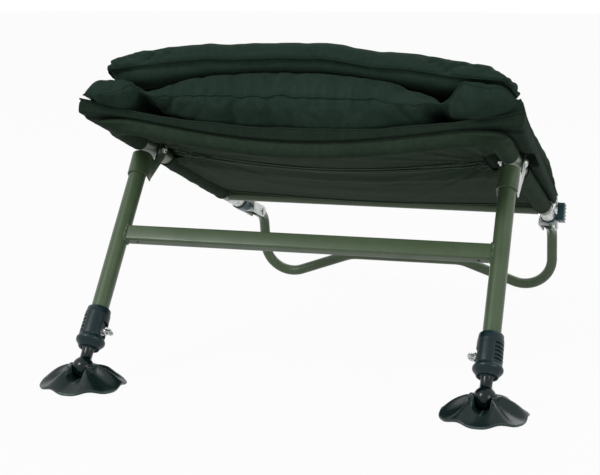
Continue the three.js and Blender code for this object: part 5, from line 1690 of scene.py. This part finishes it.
@dataclass(frozen=True)
class BackrestCloth:
    """The backrest's sling and its padded cushion with the hood over the top bar."""

    sleeve_end: float = 0.590
    hood_end: float = 0.085
    half: float = 0.280
    front: float = 0.006
    rear: float = 0.570
    rounding: float = 0.020
    gap: float = 0.0008
    bag_corner: tuple[float, float] = (0.212, 0.044)
    bag_reach: float = 0.071

    def sling(self, looks: Finishes) -> None:
        """The cloth panel, sewn round the tube."""
        path = Framework().back_path(self.sleeve_end)
        sleeve = sleeved("back_sleeve", path, run_of(path), 44, 0.045, 0.012, 0.045, 51)
        rows = np.linspace(LINES.back_top + 0.004, self.sleeve_end, 130)
        u = np.linspace(-1, 1, 120)
        s = np.broadcast_to(rows[:, None], (len(rows), len(u)))
        x = u[None, :] * (LINES.back_spread(s) - 0.010)
        slack = 0.0011 * wrinkle(s, x, 0.14, 61) + 0.0008 * wrinkle(x, s, 0.1, 62)
        edge = smoothstep(0.25 - np.abs(x), 0, 0.05)
        pucker = 0.0006 * wrinkle(s, x, 0.02, 63) * bump(np.abs(x), 0.232, 0.012)
        height = LINES.back_panel(x, s) + slack * edge + pucker
        panel = skin("panel", SEAT.place(np.stack([x, s, height], -1)), uv=np.stack([x, s], -1))
        modified(panel, "SOLIDIFY", thickness=0.0016, offset=0)
        piece = joined("backrest_cloth", sleeve, panel)
        dress(piece, looks.sling, Slot.SLING, Body.BACKREST, "backrest_sling")
        for word, side in SIDES.items():
            line = np.linspace(0.07, self.sleeve_end - 0.01, 160)
            across = side * (LINES.back_spread(line) - 0.022)
            at = np.stack([across, line, LINES.back_panel(across, line) + 0.0014], -1)
            up = np.array([0, math.sin(SEAT.lean), math.cos(SEAT.lean)])
            seam = stitches(f"backrest_stitches_{word}", SEAT.place(at), np.broadcast_to(up, at.shape))
            dress(seam, looks.thread, Slot.SLING, Body.BACKREST)

    def hood(self, looks: Finishes) -> None:
        """The padded hood that the cushion pulls over the top bar, with a welted seam along its front."""
        path = resampled(Framework().back_path(self.hood_end), 0.0027)
        length = run_of(path)
        x = path[:, 0]
        corner = smoothstep(np.abs(x), 0.20, 0.245)
        rise = 0.0082 * smoothstep(-x, 0.05, 0.20) + 0.0065 * smoothstep(x, 0.10, 0.18)
        rise += 0.0012 * wrinkle(x, 0 * x, 0.09, 71) - 0.001 - 0.004 * smoothstep(x, 0.04, 0.17)
        outer = np.array([
            (-33, 16.9), (-32, 19.4), (-26, 21.8), (-18, 23.6), (-9, 24.8), (-1, 24.8), (7, 23.0), (14, 19.6),
            (20, 14.6), (24.2, 8.8), (26.2, 3.4), (26.0, -0.4), (23.6, -2.4),
        ]) / 1000
        lower = np.array([
            (18.8, -2.2), (16.8, -3.4), (15.8, -5.4), (14.9, -8.4), (13.3, -11.4), (10.7, -14.0), (6, -16.6),
            (-2, -18.6), (-14, -20.2), (-26, -20.4), (-31, -19.4), (-31, -17.6), (-24, -16.6), (-12, -15.9),
        ]) / 1000
        wrap = np.radians(np.linspace(-115, 92, 22))
        inner = 0.0153 * np.stack([np.cos(wrap), np.sin(wrap)], -1)
        close = np.array([(-12, 15.9), (-24, 16.0), (-32, 15.9)]) / 1000
        outer, lower = finer(outer, 36), finer(lower, 28)
        section = np.concatenate([outer, lower, inner, close])
        sections = np.broadcast_to(section, (len(path), *section.shape)).copy()
        top, low_end = len(outer), len(outer) + len(lower)
        around = np.linspace(0, 1, top)
        sections[:, :top, 1] += rise[:, None] * smoothstep(around, 0.0, 0.3)[None, :]
        sections[:, top:low_end, 1] += rise[:, None] * (np.linspace(1, 0, len(lower)) ** 2)[None, :]
        low = sections[:, top:low_end, 1]
        raised = low + (-0.0158 - low) * 0.85 * corner[:, None]
        sections[:, top:low_end, 1] = np.where(low < -0.0158, raised, low)
        # The bag is cut square, so its corners stand away from the bent tube
        across, ahead = np.abs(x) - self.bag_corner[0], self.bag_corner[1] - path[:, 1]
        _, spare = cut_square(across, ahead, (self.bag_reach, self.bag_reach), self.bag_reach)
        spare = np.where(x < 0, 0.42 * spare - 0.004 * corner, 0.95 * spare + 0.006 * corner)
        full = np.clip(sections[:, :low_end, 0] / 0.026, 0, 1)
        full[:, top:] *= np.linspace(1, 0, len(lower))[None, :] ** 2
        sections[:, :low_end, 0] += spare[:, None] * full**1.3
        # Folds bunch on the front of both corners
        arc = 0.078 * around[None, :]
        leans = ((0.9, 0.052, 73), (-1.3, 0.067, 77))
        valleys = 0
        for lean, pitch, seed in leans:
            fold = wrinkle(length[:, None] + lean * arc, 0 * arc + 0.01, pitch, seed)
            valleys = valleys + np.exp(-((fold / 0.24) ** 2))
        bunched = smoothstep(np.abs(x), 0.150, 0.205)[:, None] * bump(around, 0.78, 0.17)[None, :]
        calm = 0.0008 * wrinkle(length[:, None] + 0 * arc, 0.03 * around[None, :], 0.06, 74)
        puff = calm + bunched * (0.0028 - 0.0078 * valleys)
        away = np.minimum(length, length[-1] - length)[:, None]
        normal = outer / np.linalg.norm(outer, axis=1, keepdims=True)
        sections[:, :top] += puff[..., None] * normal[None]
        # The hood closes softly round the side tubes
        hug = 1 - 0.8 * (1 - smoothstep(away, 0.0, 0.026))
        girths = np.linalg.norm(sections[:, :low_end], axis=2)
        loose = (0.0161 + (girths - 0.0161) * hug) / girths
        tight = np.where(sections[:, :low_end, 0] > -0.012, loose, 1.0)
        sections[:, :low_end] *= np.where(girths > 0.0161, tight, 1.0)[..., None]
        grid = swept(path, sections)
        girth = run_of(section)
        uv = np.stack(np.meshgrid(girth, length), -1)
        piece = skin("cushion_hood", SEAT.place(grid), wrap=True, caps=True, uv=uv)
        modified(piece, "SUBSURF", levels=1, render_levels=1)
        dress(piece, looks.plush, Slot.CUSHION, Body.BACKREST)
        welt = bent_tube("hood_seam", resampled(SEAT.place(grid[:, top - 1]), 0.004), 0.0009, 3)
        dress(welt, looks.plush, Slot.CUSHION, Body.BACKREST)

    def roof(self, x: Grid, s: Grid) -> Grid:
        """Height of the cushion's back, under the sling and the tubes."""
        near = smoothstep(np.abs(x), LINES.back_spread(s) - 0.034, LINES.back_spread(s) - 0.017)
        top = LINES.back_panel(x, s) - 0.0018
        front = 1 - smoothstep(s, 0.008, 0.030)
        return top - (LINES.sleeve + 0.0002) * np.maximum(near, front)

    def cushion(self, looks: Finishes) -> None:
        """The padded part that lies on the mattress while the backrest is folded."""
        stations, shares = round_rows(self.front, self.rear, self.rounding, 0.009)
        across, edges = round_rows(-1.0, 1.0, 0.012 / self.half, 0.009 / self.half)
        x = np.broadcast_to(across[None, :] * self.half, (len(stations), len(across)))
        s = np.broadcast_to(stations[:, None], x.shape)
        share = shares[:, None] * edges[None, :]
        floor, roof = LINES.cushion_floor(x, s) + self.gap, self.roof(x, s)
        seam = floor + (roof - floor) * 0.5
        quilt = 0.0016 * bump(np.abs(x), 0.16, 0.010) * smoothstep(s, 0.03, 0.06)
        crease = 0.0008 * np.maximum(wrinkle(x, s, 0.06, 83), 0)
        upper = np.stack([x, s, seam + (roof - seam) * share], -1)
        lower = np.stack([x, s, seam + (floor + quilt + crease - seam) * share], -1)
        points, faces, _ = closed_grid(upper, lower)
        piece = cloth_mesh("backrest_cushion_cover", SEAT.place(points), faces, points[:, :2])
        modified(piece, "SUBSURF", levels=1, render_levels=1)
        dress(piece, looks.plush, Slot.CUSHION, Body.BACKREST, "backrest_cushion")
        for word, line in (("left", upper[:, 0]), ("right", upper[:, -1])):
            welt = bent_tube(f"cushion_piping_{word}", resampled(SEAT.place(line), 0.005), 0.0014, 3)
            dress(welt, looks.piping, Slot.CUSHION, Body.BACKREST)

    def build(self, looks: Finishes) -> None:
        """Makes the backrest's cloth."""
        self.sling(looks)
        self.hood(looks)
        self.cushion(looks)


# Studio


@dataclass(frozen=True)
class Studio:
    """The pale floor, the soft light and the camera."""

    camera: tuple[float, float, float] = (0.599, -2.447579, 0.5975)
    yaw: float = math.radians(-15.48)
    pitch: float = math.radians(-9.93)
    roll: float = math.radians(0.24)
    lens: float = 98.3
    sensor: float = 36.0
    daylight: float = 0.26
    floor_pale: float = 0.62
    floor_lit: float = 0.955
    aim: tuple[float, float, float] = (0, 0, 0.25)
    lamps: tuple[tuple[str, tuple[float, float, float], float, float], ...] = (
        ("key", (-1.7, -2.3, 2.5), 1.1, 60),
        ("fill", (2.6, -1.9, 1.2), 1.2, 28),
        ("back", (0.6, 2.4, 2.2), 1.6, 20),
    )

    def white(self, name: str, pale: float, lit: float) -> Finish:
        """A pale surface that the camera and the reflections see as white, with a share of its shadows.

        Args:
            name: the material's name.
            pale: how light the surface is.
            lit: the share of plain white that the camera sees.

        Returns:
            The material.
        """
        nodes = Nodes(bpy.data.materials.new(name))
        cloud = nodes.noise(nodes.place(), 3, 2)
        colour = nodes.blend(cloud, (pale, pale, pale, 1), (pale * 0.98,) * 3 + (1,))
        nodes.surface(Base_Color=colour, Roughness=0.9)
        share = nodes.add("Math", {"operation": "MULTIPLY"}, i0=nodes.seen(), i1=lit).outputs[0]
        glow = nodes.add("Emission", Color=(1, 1, 1, 1), Strength=1.0).outputs[0]
        mix = nodes.add("MixShader", i0=share, i1=nodes.shader.outputs[0], i2=glow).outputs[0]
        nodes.tree.links.new(mix, nodes.tree.nodes["Material Output"].inputs["Surface"])
        return nodes.owner

    def floor(self) -> None:
        """A round pale floor."""
        floor = added(
            bpy.ops.mesh.primitive_circle_add, "floor",
            vertices=96, radius=14, fill_type="NGON", location=(0, 0, -0.0004),
        )
        floor.data.materials.append(self.white("floor_white", self.floor_pale, self.floor_lit))

    def sky(self) -> None:
        """A white surround that lights the chair at a plain level."""
        nodes = Nodes(bpy.data.worlds.new("surround"), "Background")
        bpy.context.scene.world = nodes.owner
        nodes.surface(Color=(1, 1, 1, 1), Strength=nodes.spread(nodes.seen(), self.daylight, 1.0))

    def lamp(self, name: str, at: Sequence[float], size: float, power: float) -> None:
        """A square soft lamp that faces the chair."""
        lamp = added(bpy.ops.object.light_add, name, type="AREA", location=at)
        lamp.data.size, lamp.data.energy = size, power
        lamp.rotation_euler = (Vector(self.aim) - Vector(at)).to_track_quat("-Z", "Y").to_euler()

    def view(self) -> None:
        """The camera at the photograph's place."""
        level = math.cos(self.pitch)
        ahead = Vector((math.sin(self.yaw) * level, math.cos(self.yaw) * level, math.sin(self.pitch)))
        right = ahead.cross(Vector((0, 0, 1))).normalized()
        up = right.cross(ahead)
        turned_right = right * math.cos(self.roll) + up * math.sin(self.roll)
        turned_up = up * math.cos(self.roll) - right * math.sin(self.roll)
        camera = added(bpy.ops.object.camera_add)
        rows = Matrix((turned_right, turned_up, -ahead)).transposed().to_4x4()
        camera.matrix_world = Matrix.Translation(self.camera) @ rows
        camera.data.sensor_width, camera.data.lens = self.sensor, self.lens
        camera.data.clip_end = 60
        bpy.context.scene.camera = camera

    def build(self) -> None:
        """Sets the stage."""
        self.floor()
        self.sky()
        for name, at, size, power in self.lamps:
            self.lamp(name, at, size, power)
        self.view()
        bpy.context.scene.view_settings.view_transform = "Standard"


def main() -> None:
    """Builds the chair's pieces in order and sets the stage."""
    logging.basicConfig(level=logging.INFO, format="%(name)s: %(message)s")
    looks = Finishes()
    Framework().build(looks)
    RearFittings().build(looks)
    FrontLegs().build(looks)
    MudFoot().build(looks)
    SeatSlings().build(looks)
    SeatPad().build(looks)
    Mattress().build(looks)
    BackrestCloth().build(looks)
    Studio().build()


if __name__ == "__main__":
    main()
